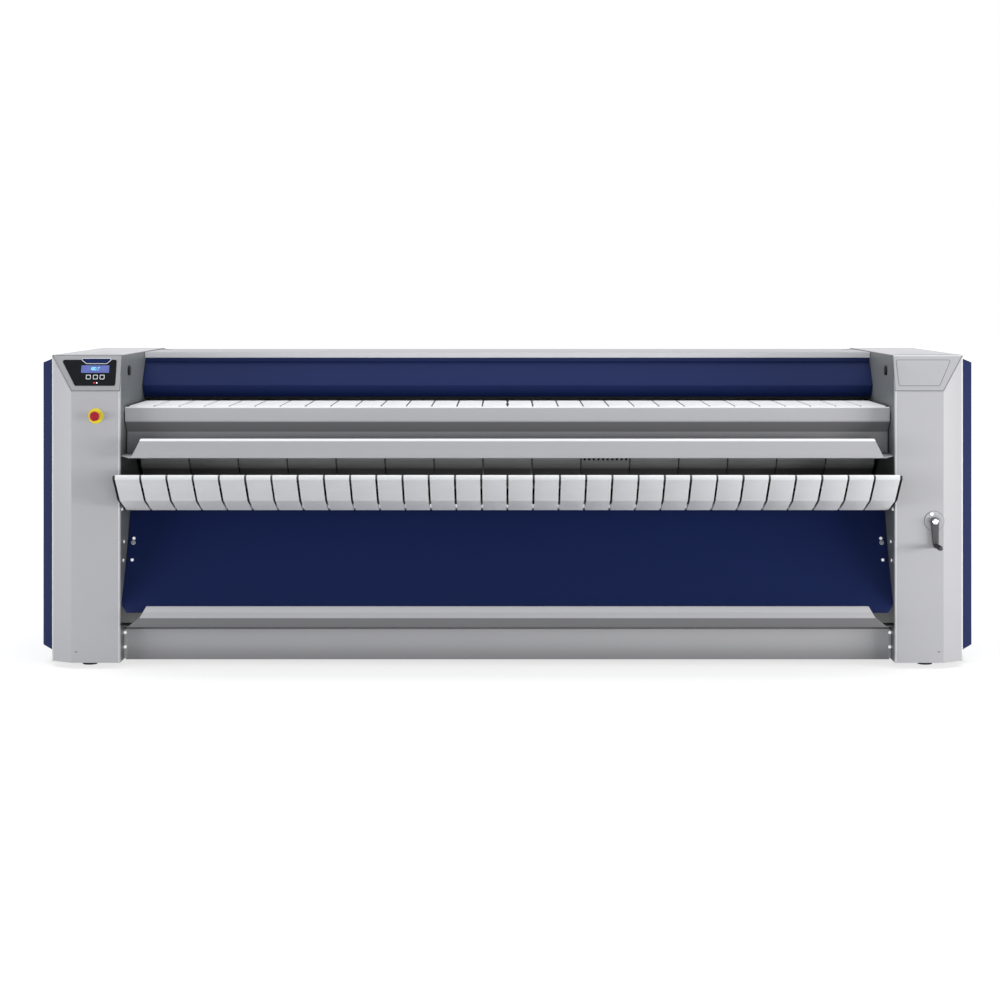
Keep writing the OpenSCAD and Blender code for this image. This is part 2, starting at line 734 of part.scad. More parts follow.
module exit_bed() color(steel) place() {
    run = exit_nose_at - exit_rear_at;
    lean = atan2(run[1], run[0]) + asin((exit_roller_r - exit_nose_r) / norm(run));
    up = [sin(lean), -cos(lean)];
    along = [cos(lean), sin(lean)];
    rise = belt_fit - seat_fit;
    rear = exit_rear_at + up * (exit_roller_r + rise) + along * (exit_roller_r + plate_gap);
    front = exit_nose_at + up * (exit_nose_r + rise) - along * (exit_nose_r + plate_gap);
    both_sides() difference() {
        union() {
            along_x(exit_cheek_x[0], exit_cheek_x[1]) polygon(belt_path(exit_wheels, 0,
                -belt_fit - seat_fit));
            block([exit_cheek_x[1] - over, exit_tab_y[0], exit_tab_z[0]], [col_in, exit_tab_y[1],
                exit_tab_z[1]]);
        }
        bar_x(exit_nose_at, exit_journal_r + running_fit, exit_cheek_x[0] - over, exit_cheek_x[1] + over);
        for (p = [exit_bottom_at, exit_rear_at])
            bar_x(p, roller_journal_r + journal_gap, exit_cheek_x[0] - over, exit_cheek_x[1] + over);
    }
    along_x(-exit_cheek_x[0] - over, exit_cheek_x[0] + over)
        polygon(folded([rear, front], cover_t));
    bar_x(exit_crease_at, exit_roller_r, -exit_cheek_x[0] - over, exit_cheek_x[0] + over);
    block([-exit_cheek_x[0] - over, exit_bar_y[0], exit_bar_z[0]],
        [exit_cheek_x[0] + over, exit_bar_y[1], exit_bar_z[1]]);
}

// Slope panel: a sheet bowed between its lower and upper edges
slope_low = [-10, 209];
slope_high_y = 262;
slope_high_drop = 220;
slope_high = [slope_high_y, shelf_z - slope_high_drop];
slope_steps = 10;
slope_screw_shares = [0.5, 0.695];
slope_disc_share = 0.658;
slope_corner = [26, 30];
slope_screw_inset = 24;
slope_screw_x = panel_w - slope_screw_inset;
slope_disc_shift = 2;
slope_disc_r = 9.5;
slope_disc_t = 3;
slope_flange = 30;
slope_tab_d = [2, 28];
slope_cut = 10;
tilt_share = 0.01;

// Point at a share of the way up the bowed sheet, on a circle through both edges
function slope_point(share) =
    let (c = norm(slope_high - slope_low), r = c * c / (8 * slope_bow) + slope_bow / 2,
        u = (slope_high - slope_low) / c, n = [u[1], -u[0]], half = asin(c / 2 / r),
        o = (slope_low + slope_high) / 2 + n * (slope_bow - r), a = (2 * share - 1) * half)
    o + r * (n * cos(a) + u * sin(a));

function slope_tilt(share) = 
    let (d = slope_point(share + tilt_share) - slope_point(share - tilt_share)) atan2(d[1], d[0]);

slope_line = concat([for (i = [0 : slope_steps]) slope_point(i / slope_steps)],
    [slope_high + [slope_flange, 0]]);

// Turns a shape so that its z axis stands on the sheet, at a share of the way up
module on_slope(x, share)
    translate([x, slope_point(share)[0], slope_point(share)[1]]) rotate([slope_tilt(share), 0, 0]) children();

module slope_panel() color(navy) place() {
    difference() {
        along_x(-panel_w, panel_w) polygon(folded(slope_line, -cover_t));
        both_sides() {
            translate([0, slope_high[0], 0]) rotate([90, 0,
                0]) linear_extrude(slope_high[0] - slope_low[0] + over)
                polygon([[panel_w - slope_corner[0], slope_low[1] - 2 * over], [panel_w + over,
                    slope_low[1] - 2 * over],
                    [panel_w + over, slope_low[1] + slope_corner[1]]]);
            for (share = slope_screw_shares) on_slope(slope_screw_x, share)
                translate([0, 0, -slope_cut]) cylinder(r = screw_r + seat_fit, h = 2 * slope_cut);
        }
    }
    both_sides() block([panel_w - 2 * cover_t, slope_high[0] + slope_tab_d[0], slope_high[1] - slope_flange],
        [col_in, slope_high[0] + slope_tab_d[1], slope_high[1] - cover_t]);
}

// Tray at the foot of the slope, its front corners cut back like the shelf's
tray_fold = [-45, 191];
tray_lip = [-20, 237];
tray_front_y = -8;
tray_cut_y = 44;
tray_inset = [33, 87, 103];
tray_x = [for (x = tray_inset) col_in - x];
tray_seat = 12;
tray_rear_y = 200;
tray_flange = 60;

module lower_tray() color(grey) place() {
    z0 = tray_z - over;
    z1 = tray_lip[1] + over;
    intersection() {
        along_x(-col_in, col_in)
            polygon(folded([tray_lip, tray_fold, [tray_front_y, tray_z], [beam_y + tray_seat, tray_z]],
                cover_t));
        union() {
            translate([0, cut_reach, 0]) rotate([90, 0, 0]) linear_extrude(2 * cut_reach)
                polygon([[-tray_x[0], tray_z + cover_t], [tray_x[0], tray_z + cover_t], [tray_x[1],
                    tray_fold[1]],
                    [tray_x[2], z1], [-tray_x[2], z1], [-tray_x[1], tray_fold[1]]]);
            translate([0, 0, z0]) linear_extrude(over + 2 * cover_t)
                polygon([[-col_in, tray_rear_y], [-col_in, tray_cut_y], [-tray_x[0], tray_front_y - over],
                    [tray_x[0], tray_front_y - over], [col_in, tray_cut_y], [col_in, tray_rear_y]]);
        }
    }
    along_x(-beam_half, beam_half)
        polygon(folded([[beam_y + tray_seat - cover_t, tray_z], [beam_y + tray_seat + cover_t, tray_z],
            [beam_y + tray_seat + cover_t, base_beam_h], [beam_y + tray_flange, base_beam_h]], cover_t));
}

// Rear panels, screwed to the rear ties
rear_y = tie_rear_y + tie_w;
vent_w = 140;
vent_h = 8;
vent_margin = 278;
vent_columns = 6;
vent_rows = 6;
vent_rise = 40;
vent_pitch = [(panel_w - vent_margin) / vent_columns, vent_rise];
vent_drop = 511;
vent_z = column_h - vent_drop;

module rear_panels() color(grey) place() {
    block([-panel_w, rear_y, tie_at[1][1]], [panel_w, rear_y + cover_t, tie_at[2][1] + tie_w / 2 - over]);
    difference() {
        block([-panel_w, rear_y, tie_at[2][1] + tie_w / 2 + over], [panel_w, rear_y + cover_t,
            tie_at[3][1] + tie_w]);
        for (i = [-vent_columns : vent_columns], j = [0 : vent_rows - 1])
            translate([i * vent_pitch[0] - vent_w / 2, rear_y - over, vent_z + j * vent_pitch[1]])
                cube([vent_w, cover_t + 2 * over, vent_h]);
    }
}

// Flange bearings on the outer face of the side frames
bearing_x0 = col_in + frame_t;
bearing_flange_r = 32;
bearing_hub_r = 22;
bearing_w = 20;

module roller_bearings() color(steel) place() both_sides() for (p = roller_places) difference() {
    union() {
        bar_x(p, bearing_flange_r, bearing_x0, bearing_x0 + bearing_w / 2);
        bar_x(p, bearing_hub_r, bearing_x0, bearing_x0 + bearing_w);
    }
    bar_x(p, roller_journal_r + running_fit, bearing_x0 - over, bearing_x0 + bearing_w + over);
}

main_bearing_w = 45;
main_bearing_half = 95;
main_bearing_wall = 32;

module cylinder_bearings() color(steel) place() both_sides() difference() {
    union() {
        translate([bearing_x0, cylinder_y - main_bearing_half, cylinder_z - main_bearing_half])
            cube([main_bearing_w / 2, 2 * main_bearing_half, 2 * main_bearing_half]);
        bar_x(cylinder_at, journal_r + main_bearing_wall, bearing_x0, bearing_x0 + main_bearing_w);
    }
    bar_x(cylinder_at, journal_r + running_fit, bearing_x0 - over, bearing_x0 + main_bearing_w + over);
}

// Heated cylinder with vented end discs and hollow journals
end_disc_t = 12;
vent_r = 35;
vents_n = 8;
vent_ring_r = 150;
journal_reach = 128;
journal_out = col_in + journal_reach;

module ironing_cylinder() color(steel) place() {
    difference() {
        bar_x(cylinder_at, cylinder_r, -zone_half, zone_half);
        bar_x(cylinder_at, cylinder_r - cylinder_wall, -zone_half + end_disc_t, zone_half - end_disc_t);
        bar_x(cylinder_at, journal_bore_r, -zone_half - over, zone_half + over);
        for (i = [0 : vents_n - 1]) {
            a = (i + 0.5) * 360 / vents_n;
            bar_x(cylinder_at + vent_ring_r * [cos(a), sin(a)], vent_r, -zone_half - over, zone_half + over);
        }
    }
    both_sides() difference() {
        bar_x(cylinder_at, journal_r, zone_half - over, journal_out);
        bar_x(cylinder_at, journal_bore_r, zone_half - 2 * over, journal_out + over);
    }
}

// Electric heating rack that rides in the hollow journals and stays still
rack_pipe_r = 22;
rod_r = 6;
rod_ring_r = 150;
rods_n = 12;
spider_n = 7;
spider_t = 5;
spider_w = 20;
spider_rim = 12;
spider_inset = 120;
rod_inset = 100;
collar_reach = [60, 30];
pipe_reach = [22, 10];
hold_t = [20, 12];
hold_w = 30;
hold_drop = 150;
hold_pin_r = 8;
hold_pin_drop = 135;

module heating_rack() color(dark) place() {
    bar_x(cylinder_at, rack_pipe_r, -journal_out - pipe_reach[0], journal_out + pipe_reach[1]);
    both_sides()
        bar_x(cylinder_at, journal_bore_r - running_fit, journal_out - collar_reach[0],
            journal_out - collar_reach[1]);
    for (i = [0 : spider_n - 1]) {
        x = spider_inset - zone_half + i * (belt_zone_w - 2 * spider_inset) / (spider_n - 1);
        for (k = [0 : 2]) translate([x, cylinder_y, cylinder_z]) rotate([60 * k, 0, 0])
            translate([0, -spider_w / 2, -rod_ring_r - spider_rim])
                cube([spider_t, spider_w, 2 * (rod_ring_r + spider_rim)]);
        difference() {
            bar_x(cylinder_at, rod_ring_r + spider_rim, x, x + spider_t);
            bar_x(cylinder_at, rod_ring_r - spider_rim, x - over, x + spider_t + over);
        }
    }
    for (i = [0 : rods_n - 1]) {
        a = (i + 0.5) * 360 / rods_n;
        bar_x(cylinder_at + rod_ring_r * [cos(a), sin(a)], rod_r, rod_inset - zone_half,
            zone_half - rod_inset);
    }
    block([-journal_out - hold_t[0], cylinder_y - hold_w / 2, cylinder_z - hold_drop],
        [-journal_out - hold_t[1], cylinder_y + hold_w / 2, cylinder_z]);
    bar_x([cylinder_y, cylinder_z - hold_pin_drop], hold_pin_r, -journal_out - hold_t[0] + over,
        -col_in - frame_t);
}

// Fingers that lift the linen off the cylinder at the exit
fingers_n = 15;
finger_w = 12;
finger_angle = 210;
finger_bar_r = 9;
finger_root = [6, 6];

module stripping_fingers() color(steel) place() {
    tip = cylinder_at + (cylinder_r + seat_fit) * [cos(finger_angle), sin(finger_angle)];
    bar_x(finger_bar_at, finger_bar_r, -col_in, col_in);
    for (i = [0 : fingers_n - 1]) {
        x = (i + 0.5) * belt_zone_w / fingers_n - zone_half;
        along_x(x - finger_w / 2, x + finger_w / 2)
            polygon([tip, finger_bar_at + finger_root, finger_bar_at - finger_root]);
    }
}

// Sensor shoes that rest close to the bare front of the cylinder
probes_n = 5;
probe_angle = 163;
probe_bar_w = 20;
shoe = [40, 30, 5];
arm = [12, 10, 36];
shoe_gap = 1;

module temperature_probes() color(steel) place() {
    along_x(-col_in, col_in) difference() {
        translate(probe_bar_at) square(probe_bar_w, center = true);
        translate(probe_bar_at) square(probe_bar_w - 2 * cover_t, center = true);
    }
    for (i = [0 : probes_n - 1]) {
        x = (i - (probes_n - 1) / 2) * belt_zone_w / (probes_n + 1);
        translate([x, cylinder_y, cylinder_z]) rotate([probe_angle, 0, 0]) translate([0,
            cylinder_r + shoe_gap, 0]) {
            translate([-shoe[0] / 2, 0, -shoe[1] / 2]) cube([shoe[0], shoe[2], shoe[1]]);
            translate([-arm[0] / 2, shoe[2] - over, -arm[1] / 2]) cube([arm[0], arm[2], arm[1]]);
        }
    }
}

// Gearmotor in the right column, on pillars from the side frame
gearbox_inset = [124, 206];
gearbox_x = [for (x = gearbox_inset) col_in + x];
gearbox_lead = [430, 300];
gearbox_y = [for (d = gearbox_lead) cylinder_y - d];
gearbox_drop = 56;
gearbox_rise = 45;
motor_r = 58;
motor_len = 240;
end_bell = [12, 30];
motor_box = [[-30, 60, 40], [40, 150, 88]];
neck_len = 30;
gear_neck_r = 24;
pillar_inset = 18;
pillar_z = [-40, -14];
pillar_r = 8;
shaft_bore = 50;
pulley_inset = 56;
pulley_x0 = col_in + pulley_inset;
pulley_w = 42;
pulley_flange = 2;
groove_gap = 1;
gear_shaft_r = 14;

module drive_gearmotor() color(steel) place() {
    difference() {
        union() {
            block([gearbox_x[0], gearbox_y[0], crank_z - gearbox_drop],
                [gearbox_x[1], gearbox_y[1], motor_pulley_at[1] + gearbox_rise]);
            bar_y(crank_at, motor_r, gearbox_y[1] - over, gearbox_y[1] + motor_len);
            bar_y(crank_at, motor_r - end_bell[0], gearbox_y[1], gearbox_y[1] + motor_len + end_bell[1]);
            translate([crank_x, gearbox_y[1], crank_z]) block(motor_box[0], motor_box[1]);
            bar_y(crank_at, gear_neck_r, gearbox_y[0] - neck_len, gearbox_y[0] + over);
            for (y = [gearbox_y[0] + pillar_inset, gearbox_y[1] - pillar_inset], z = pillar_z)
                bar_x([y, crank_z + z], pillar_r, col_in + frame_t, gearbox_x[0] + over);
        }
        bar_x(motor_pulley_at, gear_shaft_r + running_fit, gearbox_x[0] - over, gearbox_x[0] + shaft_bore);
        bar_y(crank_at, crank_shaft_r + running_fit, gearbox_y[0] - neck_len - over, gearbox_y[0]);
    }
}

// Grooved wheel whose belts sit on seat_r
module pulley(seat_r, bore_r) difference() {
    rim_r = seat_r + drive_belt_t + pulley_flange;
    cylinder(r = rim_r, h = pulley_w);
    for (i = [0, 1]) translate([0, 0, groove_x(i)]) difference() {
        cylinder(r = rim_r + over, h = groove_w);
        translate([0, 0, -over]) cylinder(r = seat_r, h = groove_w + 2 * over);
    }
    translate([0, 0, -over]) cylinder(r = bore_r, h = pulley_w + 2 * over);
}

groove_w = drive_belt_w + groove_gap;
drive_step = 6;

function groove_x(i) = (pulley_w - 2 * groove_w) / 3 * (i + 1) + i * groove_w;

lightening_r = 26;
lightening_n = 6;
shaft_reach = [6, 48];

module cylinder_pulley() color(dark) place()
    translate([pulley_x0, cylinder_y, cylinder_z]) rotate([0, 90, 0]) difference() {
        pulley(big_pulley_r, journal_r);
        for (i = [0 : lightening_n - 1]) rotate(i * 360 / lightening_n)
            translate([(big_pulley_r + journal_r) / 2, 0, -over]) cylinder(r = lightening_r,
                h = pulley_w + 2 * over);
    }

module motor_pulley() color(dark) place() {
    translate([pulley_x0, motor_pulley_at[0], motor_pulley_at[1]]) rotate([0, 90, 0])
        pulley(small_pulley_r, gear_shaft_r - over);
    bar_x(motor_pulley_at, gear_shaft_r, pulley_x0 - shaft_reach[0], gearbox_x[0] + shaft_reach[1]);
}

module drive_belts() color(dark) place() for (i = [0, 1])
    along_x(pulley_x0 + groove_x(i) + groove_gap / 2,
        pulley_x0 + groove_x(i) + groove_w - groove_gap / 2) difference() {
        polygon(belt_path(drive_wheels, drive_belt_t, drive_belt_t, drive_step));
        polygon(belt_path(drive_wheels, drive_belt_t, 0, drive_step));
    }

// Exhaust blower in the left column: casing with outlet pipe, and its motor
casing_x = [col_in + frame_t, col_in + frame_t + blower_w];
impeller_r = 140;
blades_n = 24;
fan_shaft_r = 8;
fan_motor_r = 55;
fan_motor_len = 96;
outlet_ring = [4, 4];
shaft_room = 4;
fan_bore = 40;
fan_reach = 38;
fan_gap = [12, 24];
fan_disc_t = 4;
fan_hub = [24, 40];
fan_eye = 4;
blade = [12, 32, 3];
blade_lean = 20;

module exhaust_blower() color(grey) place() mirror([1, 0, 0]) {
    difference() {
        union() {
            bar_x(blower_at, blower_r, casing_x[0], casing_x[1]);
            bar_y([spigot_x, spigot_z], spigot_r, blower_at[0], column_d + spigot_reach);
            bar_y([spigot_x, spigot_z], spigot_r + outlet_ring[0], column_d, column_d + outlet_ring[1]);
        }
        bar_x(blower_at, blower_r - cover_t, casing_x[0] + cover_t, casing_x[1] - cover_t);
        bar_y([spigot_x, spigot_z], spigot_r - cover_t, blower_at[0] + over, column_d + spigot_reach + over);
        bar_x(blower_at, inlet_r, casing_x[0] - over, casing_x[0] + cover_t + over);
        bar_x(blower_at, fan_shaft_r + shaft_room, casing_x[1] - cover_t - over, casing_x[1] + over);
    }
    difference() {
        bar_x(blower_at, fan_motor_r, casing_x[1], casing_x[1] + fan_motor_len);
        bar_x(blower_at, fan_shaft_r + running_fit, casing_x[1] - over, casing_x[1] + fan_bore);
    }
}

module fan_impeller() color(steel) place() mirror([1, 0, 0]) {
    x0 = casing_x[0] + fan_gap[0];
    x1 = casing_x[1] - fan_gap[1];
    bar_x(blower_at, impeller_r, x1 - fan_disc_t, x1);
    bar_x(blower_at, fan_hub[0], x1 - fan_hub[1], x1);
    bar_x(blower_at, fan_shaft_r, x1 - over, casing_x[1] + fan_reach);
    difference() {
        bar_x(blower_at, impeller_r, x0, x0 + fan_disc_t);
        bar_x(blower_at, inlet_r + fan_eye, x0 - over, x0 + fan_disc_t + over);
    }
    for (i = [0 : blades_n - 1]) translate([x0 + over, blower_at[0],
        blower_at[1]]) rotate([i * 360 / blades_n, 0, 0])
        translate([0, inlet_r + blade[0], -blade[2] / 2]) rotate([blade_lean, 0, 0])
            cube([x1 - x0 - 2 * over, blade[1], blade[2]]);
}

// Electrical box in the left column, and the supply gland low on its rear cover
box_inset = [60, 270];
box_x = [for (x = box_inset) col_in + x];
box_y = [150, 420];
box_drop = [631, 331];
box_z = [for (d = box_drop) column_h - d];
box_pillar_inset = 18;
cable_hole_inset = [50, 60];
cable_hole_r = 12;

module control_box() color(grey) place() mirror([1, 0, 0]) {
    difference() {
        block([box_x[0], box_y[0], box_z[0]], [box_x[1], box_y[1], box_z[1]]);
        block([box_x[0] + cover_t, box_y[0] + cover_t, box_z[0] + cover_t],
            [box_x[1] - cover_t, box_y[1] - cover_t, box_z[1] - cover_t]);
        for (x = [box_x[0] + cable_hole_inset[0], box_x[1] - cable_hole_inset[0]])
            translate([x, box_y[0] + cable_hole_inset[1], box_z[0] - over])
                cylinder(r = cable_hole_r, h = cover_t + 2 * over);
    }
    for (y = [box_y[0] + box_pillar_inset, box_y[1] - box_pillar_inset],
            z = [box_z[0] + box_pillar_inset, box_z[1] - box_pillar_inset])
        bar_x([y, z], pillar_r, col_in + frame_t, box_x[0] + over);
}

gland_bore_r = 10;
gland_collar = [6, 10];
gland_cap = [2, 28];
gland_nut = 8;
gland_in = 12;

module supply_gland() color(dark) place() translate([-gland_at[0], column_d, gland_at[1]]) difference() {
    union() {
        bar_y([0, 0], gland_r, -cover_t - gland_in, gland_collar[1]);
        bar_y([0, 0], gland_r + gland_collar[0], 0, gland_collar[1]);
        bar_y([0, 0], gland_r + gland_cap[0], gland_collar[1] - over, gland_cap[1]);
        bar_y([0, 0], gland_r + gland_collar[0], -cover_t - gland_nut, -cover_t);
    }
    bar_y([0, 0], gland_bore_r, -cover_t - gland_in - over, gland_cap[1] + over);
}

// Control glass, display and buttons
glass_outline = [[-glass_x[2], glass_v[1]], [-glass_x[1], glass_v[0]], [-glass_x[0], glass_v[0]],
    [-glass_x[0], glass_v[1]]];
glass_corner_r = 8;

module control_glass() color("black") place() on_slant() difference() {
    linear_extrude(glass_t) polygon(rounded(glass_outline, glass_corner_r));
    for (x = button_x) button_hole(x, seat_fit);
}

module display_screen() color(navy) place() on_slant()
    translate([-display_x[1], display_v[0], -cover_t])
        cube([display_x[1] - display_x[0], display_v[1] - display_v[0], cover_t]);

module button(x) color(dark) place() on_slant()
    translate([-x - button_w / 2, button_v - button_w / 2, glass_t - button_cap_t + button_rise])
        cube([button_w, button_w, button_cap_t]);

module left_button() button(button_x[0]);
module middle_button() button(button_x[1]);
module right_button() button(button_x[2]);

// Emergency stop: collar with its barrel and contact block, and the mushroom
collar_t = 3;
neck_r = 14;
neck_y = -14;
knob_h = 18;
knob_y = neck_y - 2 * stop_travel;
knob_shares = [[0, 0], [0.65, 0], [0.9, 0.11], [1, 0.33], [1, 0.67], [0.85, 1], [0, 1]];
barrel_len = 34;
stem_len = 28;
lock_ring = 6;

module emergency_stop_collar() color("gold") place() translate([-stop_at[0], 0, stop_at[1]]) difference() {
    union() {
        bar_y([0, 0], stop_collar_r, -collar_t, 0);
        bar_y([0, 0], neck_r, neck_y, over - collar_t);
        bar_y([0, 0], stop_barrel_r, -over, barrel_len);
        bar_y([0, 0], stop_barrel_r + lock_ring, cover_t, cover_t + lock_ring);
    }
    bar_y([0, 0], stop_stem_r + running_fit, neck_y - over, barrel_len + over);
}

module emergency_stop_knob() color("crimson") place() translate([-stop_at[0], 0, stop_at[1]]) {
    translate([0, knob_y - knob_h, 0]) rotate([-90, 0, 0])
        rotate_extrude() polygon([for (s = knob_shares) [s[0] * stop_knob_r, s[1] * knob_h]]);
    bar_y([0, 0], stop_stem_r, knob_y - over, stem_len);
}

sensor_head = [20.5, 8];
sensor_tail = 24;

module entry_sensors() color(dark) place() both_sides() {
    bar_x(sensor_at, sensor_head[0], col_in - sensor_head[1], col_in);
    bar_x(sensor_at, sensor_stem_r, col_in - over, col_in + frame_t + sensor_tail);
}

// Hand crank with its rosette
rosette_r = 40;
rosette_t = 4;
crank_arm_y = [-24, -9];
hub_r = 17;
hub_y = -35;
hub_cap = [6, 4];
grip_r = 10.5;
grip_len = 108;
grip_nose = [2, 5];
grip_gap = 1;
pin_r = 5;
pin_head = [3, 4];
grip_shift = 4;
grip_at = [crank_x + grip_shift, crank_z - crank_arm];
arm_end = 12;
arm_round = 11;
bush_len = 30;
rosette_screw_shift = [-10, 29];
rosette_screw_at = crank_at + rosette_screw_shift;
grip_y0 = crank_arm_y[0] - grip_gap - grip_len;

module crank_rosette() color(steel) place() difference() {
    union() {
        bar_y(crank_at, rosette_r, -rosette_t, 0);
        bar_y(crank_at, crank_shaft_r + bush_wall, -over, bush_len);
    }
    bar_y(crank_at, crank_shaft_r + running_fit, -rosette_t - over, bush_len + over);
    bar_y(rosette_screw_at, screw_r + seat_fit, -rosette_t - over, over);
}

module hand_crank() color(dark) place() {
    translate([0, crank_arm_y[1], 0]) rotate([90, 0, 0]) linear_extrude(crank_arm_y[1] - crank_arm_y[0])
        polygon(rounded([crank_at + [-hub_r, hub_r], grip_at - [arm_end, arm_end], grip_at + [arm_end,
            -arm_end],
            crank_at + [hub_r, hub_r]], arm_round));
    bar_y(crank_at, hub_r - over, hub_y + hub_cap[1], crank_arm_y[1] + hub_cap[1]);
    bar_y(crank_at, hub_r - hub_cap[0], hub_y, hub_y + hub_cap[1] + over);
    bar_y(crank_at, crank_shaft_r, crank_arm_y[1], gearbox_y[0] - over);
    bar_y(grip_at, pin_r, grip_y0 - pin_head[1], crank_arm_y[0] + over);
    bar_y(grip_at, pin_r + pin_head[0], grip_y0 - grip_gap - pin_head[1], grip_y0 - grip_gap);
}

module crank_grip() color("black") place() difference() {
    union() {
        bar_y(grip_at, grip_r, grip_y0 + grip_nose[1], grip_y0 + grip_len);
        bar_y(grip_at, grip_r - grip_nose[0], grip_y0, grip_y0 + grip_nose[1] + over);
    }
    bar_y(grip_at, pin_r + running_fit, grip_y0 - over, grip_y0 + grip_len + over);
}

// Screws that show, as heads with shanks
head_r = 6.5;
head_h = 3.3;
socket_r = 2.5;

module screw(shank) {
    difference() {
        cylinder(r = head_r, h = head_h);
        translate([0, 0, over]) cylinder(r = socket_r, h = head_h, $fn = 6);
    }
    translate([0, 0, -shank]) cylinder(r = screw_r, h = shank + over);
}

module screws() color(steel) place() {
    both_sides() {
        for (p = side_screws_at) translate([col_in, p[0], p[1]]) rotate([0, -90, 0]) screw(frame_t - over);
        for (z = bracket_screw_z)
            translate([col_in - bracket_w / 2, beam_y - beam_t, z]) rotate([90, 0, 0]) screw(screw_thread);
        for (share = slope_screw_shares)
            on_slope(slope_screw_x, share) translate([0, 0, seat_fit]) screw(2 * cover_t);
        on_slope(slope_screw_x + slope_disc_shift, slope_disc_share) translate([0, 0, seat_fit])
            cylinder(r = slope_disc_r, h = slope_disc_t);
    }
    translate([rosette_screw_at[0], -rosette_t, rosette_screw_at[1]]) rotate([90, 0, 0]) screw(rosette_t);
}

// Rollers: hollow drums with bored journals
roller_wall = 4;
roller_end_t = 12;
vent_bore_r = 4;
journal_end = bearing_x0 + bearing_w + roller_wall;

module roller(at, r, journal = roller_journal_r, reach = journal_end) {
    difference() {
        bar_x(at, r, -zone_half, zone_half);
        bar_x(at, r - roller_wall, roller_end_t - zone_half, zone_half - roller_end_t);
        bar_x(at, vent_bore_r, -zone_half - over, zone_half + over);
    }
    both_sides() difference() {
        bar_x(at, journal, zone_half - over, reach);
        bar_x(at, vent_bore_r, zone_half - 2 * over, reach + over);
    }
}

module nip_roller() color(steel) place() roller(nip_at, nip_roller_r);
module front_return_roller() color(steel) place() roller(front_roller_at, front_roller_r);
module lower_return_roller() color(steel) place() roller(lower_roller_at, return_roller_r);
module tension_roller() color(steel) place() roller(tension_roller_at, tension_roller_r);
module upper_return_roller() color(steel) place() roller(upper_roller_at, return_roller_r);
module feed_front_roller() color(steel) place() roller(feed_front_at, feed_roller_r);
module feed_rear_roller() color(steel) place() roller(feed_rear_at, feed_roller_r);
module exit_nose_roller() color(steel) place() 
    roller(exit_nose_at, exit_nose_r, exit_journal_r, exit_cheek_x[1]);
module exit_bottom_roller() color(steel) place() roller(exit_bottom_at, exit_roller_r);
module exit_rear_roller() color(steel) place() roller(exit_rear_at, exit_roller_r);

// Finger guard: a hinged flap over the entry
flap_gap = 6;
flap_z = table_z + flap_gap;
flap_t = 3;
pin_tail = 4;

module finger_guard() color(dark) place() {
    block([-panel_w, guard_pin_at[0] - flap_t / 2, flap_z], [panel_w, guard_pin_at[0] + flap_t / 2,
        guard_pin_at[1]]);
    bar_x(guard_pin_at, guard_pin_r, -col_in - frame_t - pin_tail, col_in + frame_t + pin_tail);
}

// Top cover, hinged on pins near its rear edge
cover_lead = 71.25;
top_y = [nip_at[0] - cover_lead, plate_y1];
top_drop = 4;
cheek_lead = 6;
lip_h = 25;
lip_hem = 8;
rib_inset = [60, 40];
rib_h = 14;

module top_cover() color(grey) place() {
    z1 = column_h - top_drop;
    along_x(-panel_w, panel_w)
        polygon(folded([[top_y[0] + lip_hem, z1 - lip_h], [top_y[0], z1 - lip_h], [top_y[0], z1],
            [top_y[1], z1]],
            -cover_t));
    both_sides() {
        block([panel_w - cover_t, guard_y[0] + cheek_lead, z1 - lip_h + cover_t], [panel_w, top_y[1],
            z1 - over]);
        bar_x(cover_pin_at, cover_pin_r, panel_w - cover_t, col_in + frame_t + pin_tail);
        block([panel_w / 2, top_y[0] + rib_inset[0], z1 - rib_h],
            [panel_w / 2 + cover_t, top_y[1] - rib_inset[1], z1 - over]);
    }
}

left_side_frame();
right_side_frame();
left_front_cover();
right_front_cover();
column_top_caps();
column_rear_covers();
left_side_panel();
right_side_panel();
levelling_feet();
front_base_beam();
cross_ties();
upper_guard();
feed_table_panel();
feed_bed();
feed_belts();
upper_shelf();
exit_bed();
exit_belts();
slope_panel();
lower_tray();
rear_panels();
ironing_belts();
cylinder_bearings();
roller_bearings();
heating_rack();
stripping_fingers();
temperature_probes();
drive_gearmotor();
drive_belts();
exhaust_blower();
control_box();
control_glass();
display_screen();
emergency_stop_collar();
entry_sensors();
crank_rosette();
screws();
supply_gland();
ironing_cylinder();
cylinder_pulley();
motor_pulley();
nip_roller();
front_return_roller();
lower_return_roller();
tension_roller();
upper_return_roller();
feed_front_roller();
feed_rear_roller();
exit_nose_roller();
exit_bottom_roller();
exit_rear_roller();
fan_impeller();
finger_guard();
top_cover();
left_button();
middle_button();
right_button();
emergency_stop_knob();
hand_crank();
crank_grip();
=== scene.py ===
"""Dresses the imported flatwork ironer: folded sheet-metal shells, woven belts, controls and paint.

Every length is in metres in the machine's frame: X along the cylinder, -Y to the operator, Z up.
Shapes are drawn, as in the construction, from the columns' front plane and lower edge, and
place() sets them down.
"""

import math

